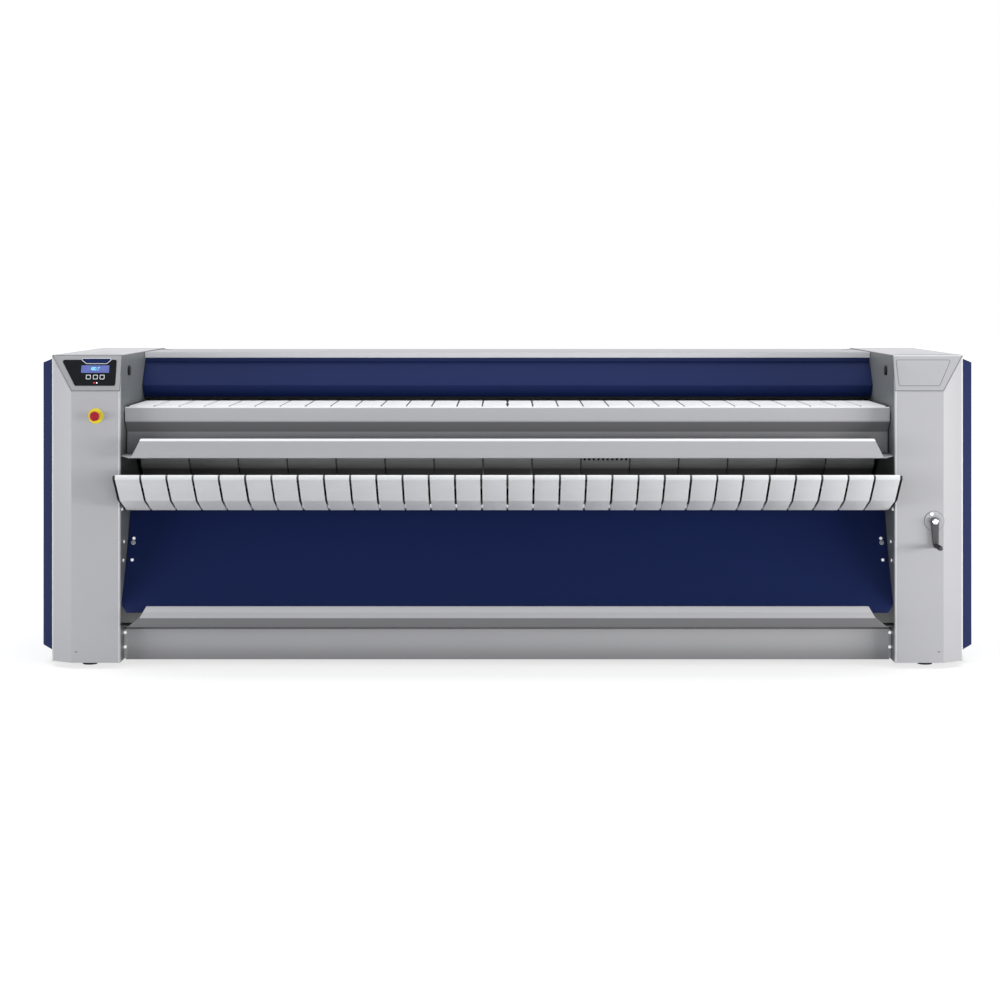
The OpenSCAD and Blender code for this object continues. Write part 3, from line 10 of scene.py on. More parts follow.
import bpy
import numpy as np
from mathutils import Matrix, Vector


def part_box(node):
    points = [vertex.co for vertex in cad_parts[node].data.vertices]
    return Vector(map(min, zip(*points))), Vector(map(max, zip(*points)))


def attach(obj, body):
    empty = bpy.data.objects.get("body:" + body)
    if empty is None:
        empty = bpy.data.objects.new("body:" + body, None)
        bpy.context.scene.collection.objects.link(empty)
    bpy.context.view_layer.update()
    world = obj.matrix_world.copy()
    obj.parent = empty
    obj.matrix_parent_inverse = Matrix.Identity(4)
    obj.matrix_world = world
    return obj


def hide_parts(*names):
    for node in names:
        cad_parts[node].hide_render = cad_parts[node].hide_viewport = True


bl_info = {
    "name": "Flatwork Ironer",
    "version": (1, 0, 0),
    "blender": (4, 5, 0),
    "location": "View3D > Sidebar > Ironer",
    "description": "Builds the shells, belts, controls and finishes of a cylinder ironer",
    "category": "Add Mesh",
}

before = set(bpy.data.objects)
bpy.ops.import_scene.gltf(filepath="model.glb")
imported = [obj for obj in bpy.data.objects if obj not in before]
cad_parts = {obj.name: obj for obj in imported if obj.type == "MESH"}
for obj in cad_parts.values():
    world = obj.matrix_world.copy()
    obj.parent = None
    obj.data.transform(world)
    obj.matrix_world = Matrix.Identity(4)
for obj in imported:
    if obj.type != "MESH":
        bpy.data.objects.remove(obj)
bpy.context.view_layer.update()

COVER_LOW, COVER_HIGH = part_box("left_front_cover")
FRONT_Y, LOWER_Z = COVER_LOW.y, COVER_LOW.z
COLUMN_IN, COLUMN_OUT = -COVER_HIGH.x, -COVER_LOW.x
COLUMN_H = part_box("column_top_caps")[1].z - LOWER_Z
COLUMN_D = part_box("column_rear_covers")[1].y - FRONT_Y
PANEL_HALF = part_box("slope_panel")[1].x - 0.003
BELT_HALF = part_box("feed_front_roller")[1].x - 0.046


def metres(name, text, value):
    """A length setting, in metres."""
    return bpy.props.FloatProperty(name=name, description=text, default=value, unit="LENGTH")


class Sizes(bpy.types.PropertyGroup):
    """Sizes of the dressed pieces, in metres"""

    sheet: metres("Sheet", "Thickness of the covers' sheet", 0.002)
    bend: metres("Bend", "Outer radius of a fold in the sheet", 0.003)
    chamfer_w: metres("Chamfer width", "Column's corner chamfer seen from the front", 0.0905)
    chamfer_d: metres("Chamfer depth", "Depth of the chamfer and of the leaning face", 0.058)
    slant_h: metres("Leaning face", "Height of the leaning control face", 0.148)
    cover_d: metres("Cover depth", "Depth of a column's front cover", 0.150)
    rear_cover_d: metres("Rear cover depth", "Depth of a column's rear cover", 0.130)
    belt_gap: metres("Belt gap", "Gap between neighbouring belts", 0.0062)
    exit_gap: metres("Exit gap", "Gap between belts of the exit conveyor", 0.0085)
    table_belt: metres("White belt", "Thickness of the white belts", 0.002)
    ironing_belt: metres("Ironing belt", "Thickness of the ironing belts", 0.003)
    table_belts: bpy.props.IntProperty(
        name="White belts", description="Belts on the table and on the exit conveyor", default=30)
    ironing_belts: bpy.props.IntProperty(
        name="Ironing belts", description="Belts round the cylinder", default=15)


def colour(name, text, value):
    """A colour setting, in linear light."""
    return bpy.props.FloatVectorProperty(
        name=name, description=text, default=value, subtype="COLOR", size=3, min=0.0, max=1.0)


class Colours(bpy.types.PropertyGroup):
    """Colours of the finishes"""

    silver: colour("Silver", "Paint of the columns and covers", (0.50, 0.50, 0.52))
    navy: colour("Navy", "Paint of the side panels, guard and slope", (0.009, 0.019, 0.086))
    plate: colour("Plate", "Paint of the inner side frames", (0.14, 0.15, 0.155))
    white_belt: colour("White belt", "Woven belts of the table and the exit", (0.90, 0.91, 0.93))
    grey_belt: colour("Ironing belt", "Felt of the ironing belts", (0.40, 0.40, 0.40))
    glass: colour("Glass", "Glass of the control panel", (0.006, 0.007, 0.008))
    yellow: colour("Yellow", "Collar of the emergency stop", (0.90, 0.74, 0.02))
    red: colour("Red", "Mushroom of the emergency stop", (0.42, 0.008, 0.022))


class Value:
    """A shader socket on which plain arithmetic adds Math nodes"""

    def __init__(self, shader, link):
        self.shader, self.link = shader, link

    def _math(self, operation, *values):
        return self.shader.node("ShaderNodeMath", {"operation": operation}, *values)

    def __add__(self, other):
        return self._math("ADD", self, other)

    def __sub__(self, other):
        return self._math("SUBTRACT", self, other)

    def __mul__(self, other):
        return self._math("MULTIPLY", self, other)

    def __truediv__(self, other):
        return self._math("DIVIDE", self, other)

    def __radd__(self, other):
        return self + other

    def __rmul__(self, other):
        return self * other

    def __rsub__(self, other):
        return self._math("SUBTRACT", other, self)

    def fraction(self):
        return self._math("FRACT", self)

    def floor(self):
        return self._math("FLOOR", self)

    def absolute(self):
        return self._math("ABSOLUTE", self)

    def sine(self):
        return self._math("SINE", self)

    def most(self, other):
        return self._math("MAXIMUM", self, other)


class Shader:
    """Builds a material or a world from expressions"""

    def __init__(self, owner, surface="Principled BSDF", **fixed):
        self.material = bpy.data.materials.new(owner) if isinstance(owner, str) else owner
        self.material.use_nodes = True
        self.tree = self.material.node_tree
        self.surface = self.tree.nodes[surface]
        for socket, value in fixed.items():
            self.surface.inputs[socket.replace("_", " ")].default_value = value

    def node(self, kind, settings, *values, out=0, sockets=None, **named):
        """Adds a node, sets its settings, then feeds its sockets by place and by name."""
        made = self.tree.nodes.new(kind)
        for key, value in settings.items():
            setattr(made, key, value)
        feeds = {**dict(enumerate(values)), **(sockets or {}), **named}
        for key, value in feeds.items():
            socket = made.inputs[key.replace("_", " ") if isinstance(key, str) else key]
            if isinstance(value, Value):
                self.tree.links.new(value.link, socket)
            elif value is not None:
                socket.default_value = (*value, 1.0)[:4] if socket.type == "RGBA" else value
        return Value(self, made.outputs[out])

    def feed(self, socket, value):
        if isinstance(value, Value):
            self.tree.links.new(value.link, self.surface.inputs[socket])
        else:
            self.surface.inputs[socket].default_value = value

    def place(self):
        return self.node("ShaderNodeTexCoord", {}, out=3)

    def along_surface(self):
        return self.node("ShaderNodeTexCoord", {}, out=2)

    def axes(self, vector):
        return [self.node("ShaderNodeSeparateXYZ", {}, vector, out=k) for k in range(3)]

    def vector(self, x, y, z):
        return self.node("ShaderNodeCombineXYZ", {}, x, y, z)

    def scaled(self, vector, by):
        return self.node("ShaderNodeVectorMath", {"operation": "MULTIPLY"}, vector, by)

    def noise(self, vector, scale, detail=3.0, rough=0.5):
        return self.node("ShaderNodeTexNoise", {}, Vector=vector, Scale=scale, Detail=detail,
                         Roughness=rough)

    def speckle(self, vector):
        return self.node("ShaderNodeTexWhiteNoise", {"noise_dimensions": "3D"}, Vector=vector)

    def blend(self, mask, a, b):
        """Colour a where mask is 0 and b where it is 1."""
        return self.node("ShaderNodeMix", {"data_type": "RGBA"}, out=2, sockets={0: mask, 6: a, 7: b})

    def varied(self, mask, tone, low, high):
        """A tone that runs from low to high times itself with the mask."""
        return self.blend(mask, toned(tone, low), toned(tone, high))

    def smooth(self, value, low, high):
        """0 below low, 1 above high, and a smooth step between."""
        return self.node("ShaderNodeMapRange", {"interpolation_type": "SMOOTHSTEP"},
                         value, low, high, 0.0, 1.0)

    def bump(self, height, distance, strength=1.0, radius=None):
        named = {"Strength": strength, "Distance": distance, "Height": height}
        if radius:
            named["Normal"] = self.node("ShaderNodeBevel", {"samples": 4}, radius)
        self.feed("Normal", self.node("ShaderNodeBump", {}, **named))


MATERIALS = {}


def toned(tone, by):
    """A tone made lighter or darker."""
    return [min(1.0, by * v) for v in tone]


def paint(name, tone, rough=0.38, gloss=0.4, painted_light_bands=(), fade=0.001):
    """Sprayed paint: a tone that drifts a little, fine orange peel and faint handling marks.

    Each band (height, tone) takes over from its height upwards, over a fade of that length; a darker band
    is painted shade and a lighter one a painted highlight.
    """
    s = Shader(name, Specular_IOR_Level=gloss)
    at = s.place()
    drift = s.noise(at, 2.3, 2.0)
    marks = s.noise(s.scaled(at, (3.0, 3.0, 0.8)), 9.0, 6.0, 0.62)
    mix = drift * 0.35 + marks * 0.15
    body = s.varied(mix, tone, 0.93, 1.07)
    # Painted shade and painted highlight: each band swaps in a darker or lighter tone by height.
    for height, shade in painted_light_bands:
        z = s.axes(at)[2] - LOWER_Z
        body = s.blend(s.smooth(z, height, height + fade), body, s.varied(mix, shade, 0.93, 1.07))
    s.feed("Base Color", body)
    s.feed("Roughness", rough - 0.05 + marks * 0.12)
    s.bump(s.noise(at, 900.0, 2.0), 0.00006, radius=0.0009)
    return s.material


def brushed(name, tone, rough=0.28, stretch=(2.0, 400.0, 400.0), metallic=1.0, painted_glint=0.0):
    """Brushed or turned metal: fine lines drawn out along the X axis, and a faint white emission as a
    painted glint.
    """
    s = Shader(name, Metallic=metallic, Emission_Color=(1.0, 1.0, 1.0, 1.0), Emission_Strength=painted_glint)
    at = s.place()
    lines = s.noise(s.scaled(at, stretch), 1.0, 4.0, 0.6)
    stain = s.noise(at, 14.0, 4.0)
    s.feed("Base Color", s.varied(stain, tone, 0.85, 1.1))
    s.feed("Roughness", rough - 0.08 + lines * 0.2)
    s.bump(lines, 0.00002, radius=0.0006)
    return s.material


def cast(name, tone):
    """Painted casting: a pitted skin under dull paint."""
    s = Shader(name, Coat_Weight=0.05)
    at = s.place()
    grain = s.noise(at, 260.0, 4.0, 0.7)
    s.feed("Base Color", s.varied(s.noise(at, 18.0), tone, 0.8, 1.0))
    s.feed("Roughness", 0.5 + grain * 0.2)
    s.bump(grain, 0.0003, radius=0.001)
    return s.material


def zinc(name, tone):
    """Galvanised sheet: flat crystals of slightly different brightness."""
    s = Shader(name, Metallic=0.85)
    at = s.place()
    crystal = s.node("ShaderNodeTexVoronoi", {}, Vector=at, Scale=90.0, out=1)
    shade = s.axes(crystal)[0]
    s.feed("Base Color", s.varied(shade, tone, 0.82, 1.0))
    s.feed("Roughness", 0.34 + shade * 0.16)
    s.bump(s.noise(at, 500.0), 0.00004, radius=0.0008)
    return s.material


def plastic(name, tone, rough=0.42, grain=0.00008, gloss=0.4):
    """Moulded plastic or rubber: an even tone with a fine grained skin."""
    s = Shader(name, Specular_IOR_Level=gloss)
    at = s.place()
    skin = s.noise(at, 1400.0, 2.0)
    s.feed("Base Color", s.varied(s.noise(at, 30.0), tone, 0.88, 1.06))
    s.feed("Roughness", rough + skin * 0.1)
    s.bump(skin, grain, radius=0.0007)
    return s.material


def woven(name, tone, pitch, depth):
    """Plain weave on the belt's own UV map, in metres: u across the belt, v along it."""
    s = Shader(name, Sheen_Weight=0.25, Sheen_Roughness=0.5, Specular_IOR_Level=0.25)
    u, v, _ = s.axes(s.along_surface())
    across = (u * (2 * math.pi / pitch)).sine()
    along = (v * (2 * math.pi / pitch)).sine()
    weave = across * along * 0.5 + 0.5
    at = s.place()
    cell = s.speckle(s.vector((u / pitch).floor(), (v / pitch).floor(), 0.0))
    wear = s.noise(s.scaled(at, (1.0, 2.5, 2.5)), 6.0, 5.0, 0.6)
    tint = s.varied(wear, tone, 1.0, 0.88)
    s.feed("Base Color", s.blend(weave * 0.12 + cell * 0.10, tint, toned(tone, 1.12)))
    s.feed("Roughness", 0.75 + wear * 0.12)
    s.bump(weave * 0.7 + cell * 0.3, depth)
    return s.material


def felt(name, tone):
    """Needled felt: matted fibres drawn along the belt's run, near black below 0.762 m as painted shade.
    """
    s = Shader(name, Sheen_Weight=0.4, Sheen_Roughness=0.6, Specular_IOR_Level=0.15)
    u, v, _ = s.axes(s.along_surface())
    fibres = s.noise(s.vector(u * 900.0, v * 260.0, 0.0), 1.0, 5.0, 0.7)
    at = s.place()
    tint = s.varied(s.noise(at, 7.0, 4.0) * 0.5 + fibres * 0.5, tone, 0.75, 1.3)
    # Painted shade: below 0.762 m the felt turns near black, where the belts run under the roller.
    above_painted_shade = s.smooth(s.axes(at)[2] - LOWER_Z, 0.762, 0.778)
    s.feed("Base Color", s.blend(above_painted_shade, toned(tone, 0.12), tint))
    s.feed("Roughness", 0.85 + fibres * 0.1)
    s.bump(fibres, 0.0004)
    return s.material


def glass_black(name, tone):
    """Black glass: a deep gloss with faint finger marks in its roughness."""
    s = Shader(name, Specular_IOR_Level=0.08)
    at = s.place()
    smear = s.noise(s.scaled(at, (8.0, 8.0, 20.0)), 6.0, 6.0, 0.7)
    s.feed("Base Color", s.varied(smear, tone, 1.0, 2.5))
    s.feed("Roughness", 0.14 + smear * 0.12)
    return s.material


def lit_display(name):
    """Backlit window: violet-blue ground under a pixel grid, on the UV map."""
    s = Shader(name, Emission_Strength=0.12, Specular_IOR_Level=0.1)
    u, v, _ = s.axes(s.along_surface())
    along, up = (((line * 1600.0).fraction() - 0.5).absolute() for line in (u, v))
    lines = s.smooth(along.most(up), 0.40, 0.5)
    glow = s.noise(s.vector(u * 9.0, v * 9.0, 0.0), 2.0, 2.0)
    ground = s.blend(glow, (0.11, 0.14, 0.40), (0.18, 0.22, 0.54))
    tint = s.blend(lines * 0.35, ground, (0.05, 0.05, 0.30))
    s.feed("Base Color", tint)
    s.feed("Emission Color", tint)
    s.feed("Roughness", 0.25 + glow * 0.05)
    return s.material


def glowing(name, tone):
    """A lit mark: its tone shines, with a little drift in its brightness."""
    s = Shader(name, Emission_Strength=1.0)
    hue = s.varied(s.noise(s.place(), 200.0), tone, 1.0, 1.15)
    s.feed("Base Color", hue)
    s.feed("Emission Color", hue)
    s.feed("Roughness", 0.4)
    return s.material


PALE = (0.88, 0.88, 0.90)
EVERY_WAY = (300.0, 300.0, 300.0)


def make_materials():
    """Makes every finish; a band's height is measured from the columns' lower edge."""
    c = bpy.context.scene.ironer_colours
    # Darker and lighter copies of the silver: the seam line's dark joint tone, and painted shade and
    # painted highlight for the pieces below.
    shares = (36, 40, 50, 52, 55, 78, 80, 86, 88, 115, 126)
    silver = {share: toned(c.silver, share / 100) for share in shares}
    MATERIALS.update(
        silver=paint("silver_paint", c.silver),
        navy=paint("navy_paint", c.navy, 0.42, 0.12),
        seam=paint("seam_line", silver[36], 0.5),
        # rim: the silver darkened, a painted shade on the left leaning plate and on the beam's brackets.
        rim=paint("shaded_silver_paint", silver[80]),
        # pale: an off-white for the strips on the columns' folds, a painted highlight.
        pale=paint("painted_highlight_white", PALE),
        # cover: the lid's lip lightened as a painted highlight, and its top darkened as painted shade.
        cover=paint("lid_painted_highlight_and_shade", silver[126], painted_light_bands=[(COLUMN_H - 0.0062, silver[78])]),
        # table: painted shade on the fascia, darker still under the bevel, the plain silver on the front
        # face, and a painted highlight on the top fold.
        table=paint("table_painted_shade_and_highlight", silver[52], 0.45,
                    painted_light_bands=[(0.945, silver[40]), (0.989, c.silver), (1.0485, PALE)]),
        # shelf: the silver a little darker as painted shade, with a painted highlight on the lip's top.
        shelf=paint("shelf_painted_shade_and_highlight", silver[88], painted_light_bands=[(SHELF_LIP - 0.010, PALE)]),
        # tray: painted shade on the lower folds and underneath, the plain silver above, and a painted
        # highlight on the lip's top.
        tray=paint("tray_painted_shade_and_highlight", silver[50], painted_light_bands=[(0.190, c.silver), (0.2125, silver[115])]),
        # beam: painted shade, darker still towards the floor over its lowest 85 mm.
        beam=paint("beam_painted_shade", silver[55], painted_light_bands=[(0.0, silver[86])], fade=0.085),
        # plate: a painted shadow of the shelf across the side frames, from 0.69 to 0.845 m.
        plate=paint("plate_painted_shadow", c.plate, 0.45, painted_light_bands=[(0.690, toned(c.plate, 0.35)), (0.845, c.plate)],
                    fade=0.010),
        dark=paint("dark_paint", (0.06, 0.06, 0.065), 0.42),
        steel=brushed("turned_steel", (0.62, 0.62, 0.63)),
        # bright: pale metal with a faint white glow, a painted glint on the screws and rivets.
        bright=brushed("screw_painted_glint", (0.95, 0.95, 0.97), 0.20, EVERY_WAY, 0.35, 0.30),
        chrome=brushed("chrome_cap", PALE, 0.16, EVERY_WAY),
        disc=brushed("dull_disc", (0.42, 0.43, 0.45), 0.4, EVERY_WAY, 0.3),
        zinc=zinc("galvanised_sheet", (0.52, 0.53, 0.55)),
        cast=cast("cast_housing", (0.20, 0.21, 0.22)),
        white_belt=woven("white_weave", c.white_belt, 0.0016, 0.00018),
        grey_belt=felt("ironing_felt", c.grey_belt),
        rubber=plastic("black_rubber", (0.022, 0.022, 0.023), 0.6),
        black=plastic("black_plastic", (0.014, 0.014, 0.015), 0.45, gloss=0.2),
        yellow=plastic("yellow_plastic", c.yellow, 0.34, 0.00003),
        red=plastic("red_plastic", c.red, 0.34, 0.00003, 0.25),
        print_white=plastic("white_print", (0.80, 0.81, 0.83), 0.4),
        glass=glass_black("control_glass", c.glass),
        display=lit_display("lit_display"),
        cyan=glowing("cyan_digits", (0.25, 0.80, 0.95)),
        lamp_red=glowing("red_lamp", (0.75, 0.02, 0.02)),
        lamp_white=glowing("white_lamp", (0.95, 0.95, 0.95)),
    )


def place(points):
    """Moves points drawn from the front plane and lower edge into the machine's frame."""
    return np.asarray(points, float) + (0.0, FRONT_Y, LOWER_Z)


SHARP = math.radians(35.0)


class Shell:
    """Collects grids of points and makes one mesh object of them"""

    def __init__(self, name):
        self.name = name
        self.points, self.quads, self.uvs, self.slots, self.materials = [], [], [], [], []
        self.count = 0

    def grid(self, points, material, wrap_rows=False, wrap_columns=False, flip=False):
        """Quads over a (rows, columns, 3) array; UV is the arc length in metres along each way."""
        p = np.asarray(points, float)
        rows, columns = p.shape[:2]
        index = np.arange(rows * columns).reshape(rows, columns) + self.count
        across = np.linalg.norm(np.diff(p, axis=1, append=p[:, :1]), axis=2)
        down = np.linalg.norm(np.diff(p, axis=0, append=p[:1]), axis=2)
        u = np.concatenate([np.zeros((rows, 1)), np.cumsum(across, axis=1)], axis=1)
        v = np.concatenate([np.zeros((1, columns)), np.cumsum(down, axis=0)], axis=0)
        u = np.broadcast_to(u.mean(0), (rows + 1, columns + 1))
        v = np.broadcast_to(v.mean(1)[:, None], (rows + 1, columns + 1))
        uv = np.stack([u, v], axis=2)
        if wrap_rows:
            index = np.concatenate([index, index[:1]], axis=0)
        if wrap_columns:
            index = np.concatenate([index, index[:, :1]], axis=1)
        uv = uv[: index.shape[0], : index.shape[1]]

        def corners(a):
            return [a[:-1, :-1], a[:-1, 1:], a[1:, 1:], a[1:, :-1]]

        order = [3, 2, 1, 0] if flip else [0, 1, 2, 3]
        quads = np.stack([corners(index)[k] for k in order], axis=-1).reshape(-1, 4)
        corner_uv = np.stack([corners(uv)[k] for k in order], axis=2).reshape(-1, 4, 2)
        if material not in self.materials:
            self.materials.append(material)
        self.points.append(p.reshape(-1, 3))
        self.quads.append(quads)
        self.uvs.append(corner_uv)
        self.slots.append(np.full(len(quads), self.materials.index(material), np.int32))
        self.count += rows * columns

    def mirrored(self):
        """Adds the mirror image of everything collected so far across X = 0."""
        points, quads = np.concatenate(self.points), np.concatenate(self.quads)
        uvs, slots = np.concatenate(self.uvs), np.concatenate(self.slots)
        self.points.append(points * (-1.0, 1.0, 1.0))
        self.quads.append(quads[:, ::-1] + self.count)
        self.uvs.append(uvs[:, ::-1])
        self.slots.append(slots)
        self.count *= 2

    def flipped(self):
        """Turns what was collected into its mirror image across X = 0."""
        self.points = [p * (-1.0, 1.0, 1.0) for p in self.points]
        self.quads = [q[:, ::-1] for q in self.quads]
        self.uvs = [uv[:, ::-1] for uv in self.uvs]

    def finish(self, body, slot, *nodes, bevel=0.0):
        """Welds the grids, smooths gentle edges, and hands the piece to its body."""
        if not self.points:
            raise RuntimeError(self.name + " has no surface")
        mesh = bpy.data.meshes.new(self.name)
        points, quads = np.concatenate(self.points), np.concatenate(self.quads)
        uvs, slots = np.concatenate(self.uvs), np.concatenate(self.slots)
        _, first, back = np.unique(np.round(points, 7), axis=0, return_index=True, return_inverse=True)
        quads = back.reshape(-1)[quads]
        solid = np.array([len(set(q)) > 2 for q in quads.tolist()])
        quads, uvs, slots = quads[solid], uvs[solid], slots[solid]
        faces, face_uv = [], []
        for q, uv in zip(quads.tolist(), uvs.tolist()):
            keep = [k for k in range(4) if q[k] != q[k - 1]]
            faces.append([q[k] for k in keep])
            face_uv.extend(uv[k] for k in keep)
        mesh.from_pydata(points[first].tolist(), [], faces)
        layer = mesh.uv_layers.new(name="UVMap")
        layer.data.foreach_set("uv", np.array(face_uv, np.float32).reshape(-1))
        for name in self.materials:
            mesh.materials.append(MATERIALS[name])
        mesh.polygons.foreach_set("material_index", slots.astype(np.int32))
        mesh.polygons.foreach_set("use_smooth", np.ones(len(faces), bool))
        mesh.set_sharp_from_angle(angle=SHARP)
        mesh.update()
        piece = bpy.data.objects.new(self.name, mesh)
        bpy.context.scene.collection.objects.link(piece)
        if bevel:
            edge = piece.modifiers.new("edges", "BEVEL")
            edge.width, edge.segments, edge.limit_method = bevel, 2, "ANGLE"
            edge.angle_limit = SHARP
            edge.harden_normals = True
        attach(piece, body)
        if nodes:
            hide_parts(*nodes)
        return piece


def arc_corner(a, b, c, radius, steps):
    """Points of the arc of that radius that rounds corner b between a and c."""
    u, w = (a - b) / np.linalg.norm(a - b), (c - b) / np.linalg.norm(c - b)
    half = 0.5 * math.acos(max(-1.0, min(1.0, float(u @ w))))
    if half > 1.55 or radius <= 0.0:
        return b[None]
    reach = min(radius / math.tan(half), 0.45 * np.linalg.norm(a - b), 0.45 * np.linalg.norm(c - b))
    radius = reach * math.tan(half)
    middle = b + (u + w) / np.linalg.norm(u + w) * radius / math.sin(half)
    p, q = b + u * reach - middle, b + w * reach - middle
    turn = math.atan2(p[0] * q[1] - p[1] * q[0], float(p @ q))
    t = np.linspace(0.0, turn, steps + 1)
    return middle + np.stack([p[0] * np.cos(t) - p[1] * np.sin(t),
                              p[0] * np.sin(t) + p[1] * np.cos(t)], 1)


def rounded_path(points, radius, steps=4, closed=False):
    """A bent line with every corner rounded; each point also carries its share between the folds."""
    p = np.asarray(points, float)
    n = len(p)
    out, marks = [], []
    for i in range(n):
        if not closed and i in (0, n - 1):
            arc = p[i][None]
        else:
            arc = arc_corner(p[i - 1], p[i], p[(i + 1) % n], radius, steps)
        out.append(arc)
        marks.append(np.full(len(arc), float(i)))
    return np.concatenate(out), np.concatenate(marks)


def normals_left(path, closed=False):
    """Unit normals to the left of a line's run, with the mitre's stretch at each point."""
    p = np.asarray(path, float)
    if closed:
        before, after = p - np.roll(p, 1, 0), np.roll(p, -1, 0) - p
    else:
        step = np.diff(p, axis=0)
        before, after = np.vstack([step[:1], step]), np.vstack([step, step[-1:]])
    before /= np.linalg.norm(before, axis=1)[:, None]
    after /= np.linalg.norm(after, axis=1)[:, None]
    a = np.stack([-before[:, 1], before[:, 0]], 1)
    b = np.stack([-after[:, 1], after[:, 0]], 1)
    return (a + b) / (1.0 + np.sum(a * b, axis=1))[:, None]


def close_end(shell, ring, material, flip):
    """Closes a sheet's cut end, between its outer line and the inner one that runs back."""
    n = len(ring) // 2
    shell.grid(place(np.stack([ring[:n], ring[n:][::-1]])), material, flip=flip)


def folded_sheet(shell, folds, thickness, material, radius, side, halves):
    """A sheet folded along a line in the (y, z) plane and run along X.

    The section is the rounded line and its copy moved to one side by the thickness. Each fold
    has its own half width, so a clipped end follows the fold line. The rows are the two ends,
    and the columns go round the closed section.
    """
    halves = np.broadcast_to(np.asarray(halves, float), len(folds))
    path, marks = rounded_path(folds, radius)
    length = np.concatenate([[0.0], np.cumsum(np.linalg.norm(np.diff(path, axis=0), axis=1))])
    known = [length[marks == i].mean() for i in range(len(folds))]
    width = np.interp(length, known, halves)
    inner = path + side * thickness * normals_left(path)
    loop = np.concatenate([path, inner[::-1]])
    widths = np.concatenate([width, width[::-1]])
    ends = [np.column_stack([sign * widths, loop[:, 0], loop[:, 1]]) for sign in (-1.0, 1.0)]
    shell.grid(place(ends), material, wrap_columns=True, flip=side > 0)
    close_end(shell, ends[0], material, side < 0)
    close_end(shell, ends[1], material, side > 0)


def unit_frame(normal, up=(0.0, 0.0, 1.0)):
    """Axes (across, up, out) of a drawing plane with that normal."""
    out = np.asarray(normal, float) / np.linalg.norm(normal)
    across = np.cross(up, out)
    across /= np.linalg.norm(across)
    return np.stack([across, np.cross(out, across), out])


def plate(shell, outline, thickness, material, origin, axes, edge=0.0008, centre=None):
    """A flat plate with softened edges.

    Rings of the outline run from the back's middle over the rim to the front's middle: each is
    the outline moved inward by the edge's quarter circle, and the last ring shrinks to a point.
    """
    outline = np.asarray(outline, float)
    inward = normals_left(outline, closed=True)
    middle = outline.mean(0) if centre is None else np.asarray(centre, float)
    arc = np.linspace(0.0, math.pi / 2, 4)
    rings = [(None, 0.0), (edge, 0.0)]
    rings += [(edge * (1 - math.sin(t)), edge * (1 - math.cos(t))) for t in arc[1:]]
    rings += [(edge * (1 - math.sin(t)), thickness - edge * (1 - math.cos(t))) for t in arc[::-1]]
    rings += [(None, thickness)]
    rows = []
    for inset, height in rings:
        flat = np.broadcast_to(middle, outline.shape) if inset is None else outline + inset * inward
        rows.append(np.column_stack([flat, np.full(len(flat), height)]))
    points = np.asarray(rows) @ axes + np.asarray(origin, float)
    shell.grid(place(points), material, wrap_columns=True)


def circle(radius, steps):
    """Points of a circle about the origin of a drawing plane."""
    t = np.arange(steps) * 2 * math.pi / steps
    return radius * np.stack([np.cos(t), np.sin(t)], 1)


def rectangle(x0, x1, y0, y1, radius, steps=4):
    """A rectangle's outline with rounded corners."""
    corners = [(x0, y0), (x1, y0), (x1, y1), (x0, y1)]
    return rounded_path(corners, radius, steps, closed=True)[0]


def lathe(shell, profile, material, origin, axes, steps=64, ripple=None):
    """Turns a profile of (radius, height) points about the out axis of a drawing plane.

    Point (i, k) is radius_i * (cos a_k, sin a_k) at height_i; ripple scales the radius by row
    and angle, for ribs and scallops.
    """
    profile = np.asarray(profile, float)
    a = np.arange(steps) * 2 * math.pi / steps
    radius = np.broadcast_to(profile[:, :1], (len(profile), steps)).copy()
    if ripple is not None:
        radius *= ripple(np.arange(len(profile))[:, None], a[None])
    points = np.stack([radius * np.cos(a), radius * np.sin(a),
                       np.broadcast_to(profile[:, 1:], radius.shape)], axis=2)
    shell.grid(place(points @ axes + np.asarray(origin, float)), material, wrap_columns=True)


def soft_profile(points, radius, steps=4):
    """A turned profile with its corners rounded."""
    return rounded_path(points, radius, steps)[0]


FACING = unit_frame((0.0, -1.0, 0.0))
UPWARD = np.eye(3)
OUTWARD, INWARD = unit_frame((1.0, 0.0, 0.0)), unit_frame((-1.0, 0.0, 0.0))
BACKWARD = unit_frame((0.0, 1.0, 0.0))


def sizes():
    """The scene's size settings."""
    return bpy.context.scene.ironer_sizes


def slope_length():
    """Length of the leaning face, from its crease to the top."""
    return math.hypot(sizes().chamfer_d, sizes().slant_h)


def slant_axes():
    """Axes of the leaning face: across, up the slope and out of it."""
    return unit_frame((0.0, -sizes().slant_h, sizes().chamfer_d))


def slant_origin(lift=0.0):
    """Origin on the leaning face's crease, or that far above its surface."""
    return np.array([0.0, 0.0, COLUMN_H - sizes().slant_h]) + lift * slant_axes()[2]


def on_slant(points, side):
    """Plane coordinates of (metres from the inner face, share up the slope) on one column."""
    p = np.asarray(points, float)
    return np.column_stack([side * (COLUMN_IN + p[:, 0]), p[:, 1] * slope_length()])


def ring_frame(shell, outer, inner, height, material, origin, axes):
    """A flat raised frame between two outlines with as many points each."""
    rows = [np.column_stack([flat, np.full(len(flat), h)])
            for flat, h in ((inner, 0.0), (outer, 0.0), (outer, height), (inner, height))]
    points = rows @ axes + np.asarray(origin, float)
    shell.grid(place(points), material, wrap_rows=True, wrap_columns=True)


def seam_ring(shell, outline, outside, inside, height):
    """A seam line that follows an outline on the leaning face."""
    inward = normals_left(outline, closed=True)
    ring_frame(shell, outline - outside * inward, outline + inside * inward, height, "seam",
               slant_origin(), slant_axes())


HAIR = 0.0002
STRIP = 0.0006
COVER_RETURN = 0.025
WALL_SHARES = (0.0, 0.001, 0.5, 0.999, 1.0)
LEAN_GAP, LEAN_STAND = 0.0006, 0.0004
SLOT = (COLUMN_IN + 0.176, COLUMN_IN + 0.187, 0.0435, 0.0470)


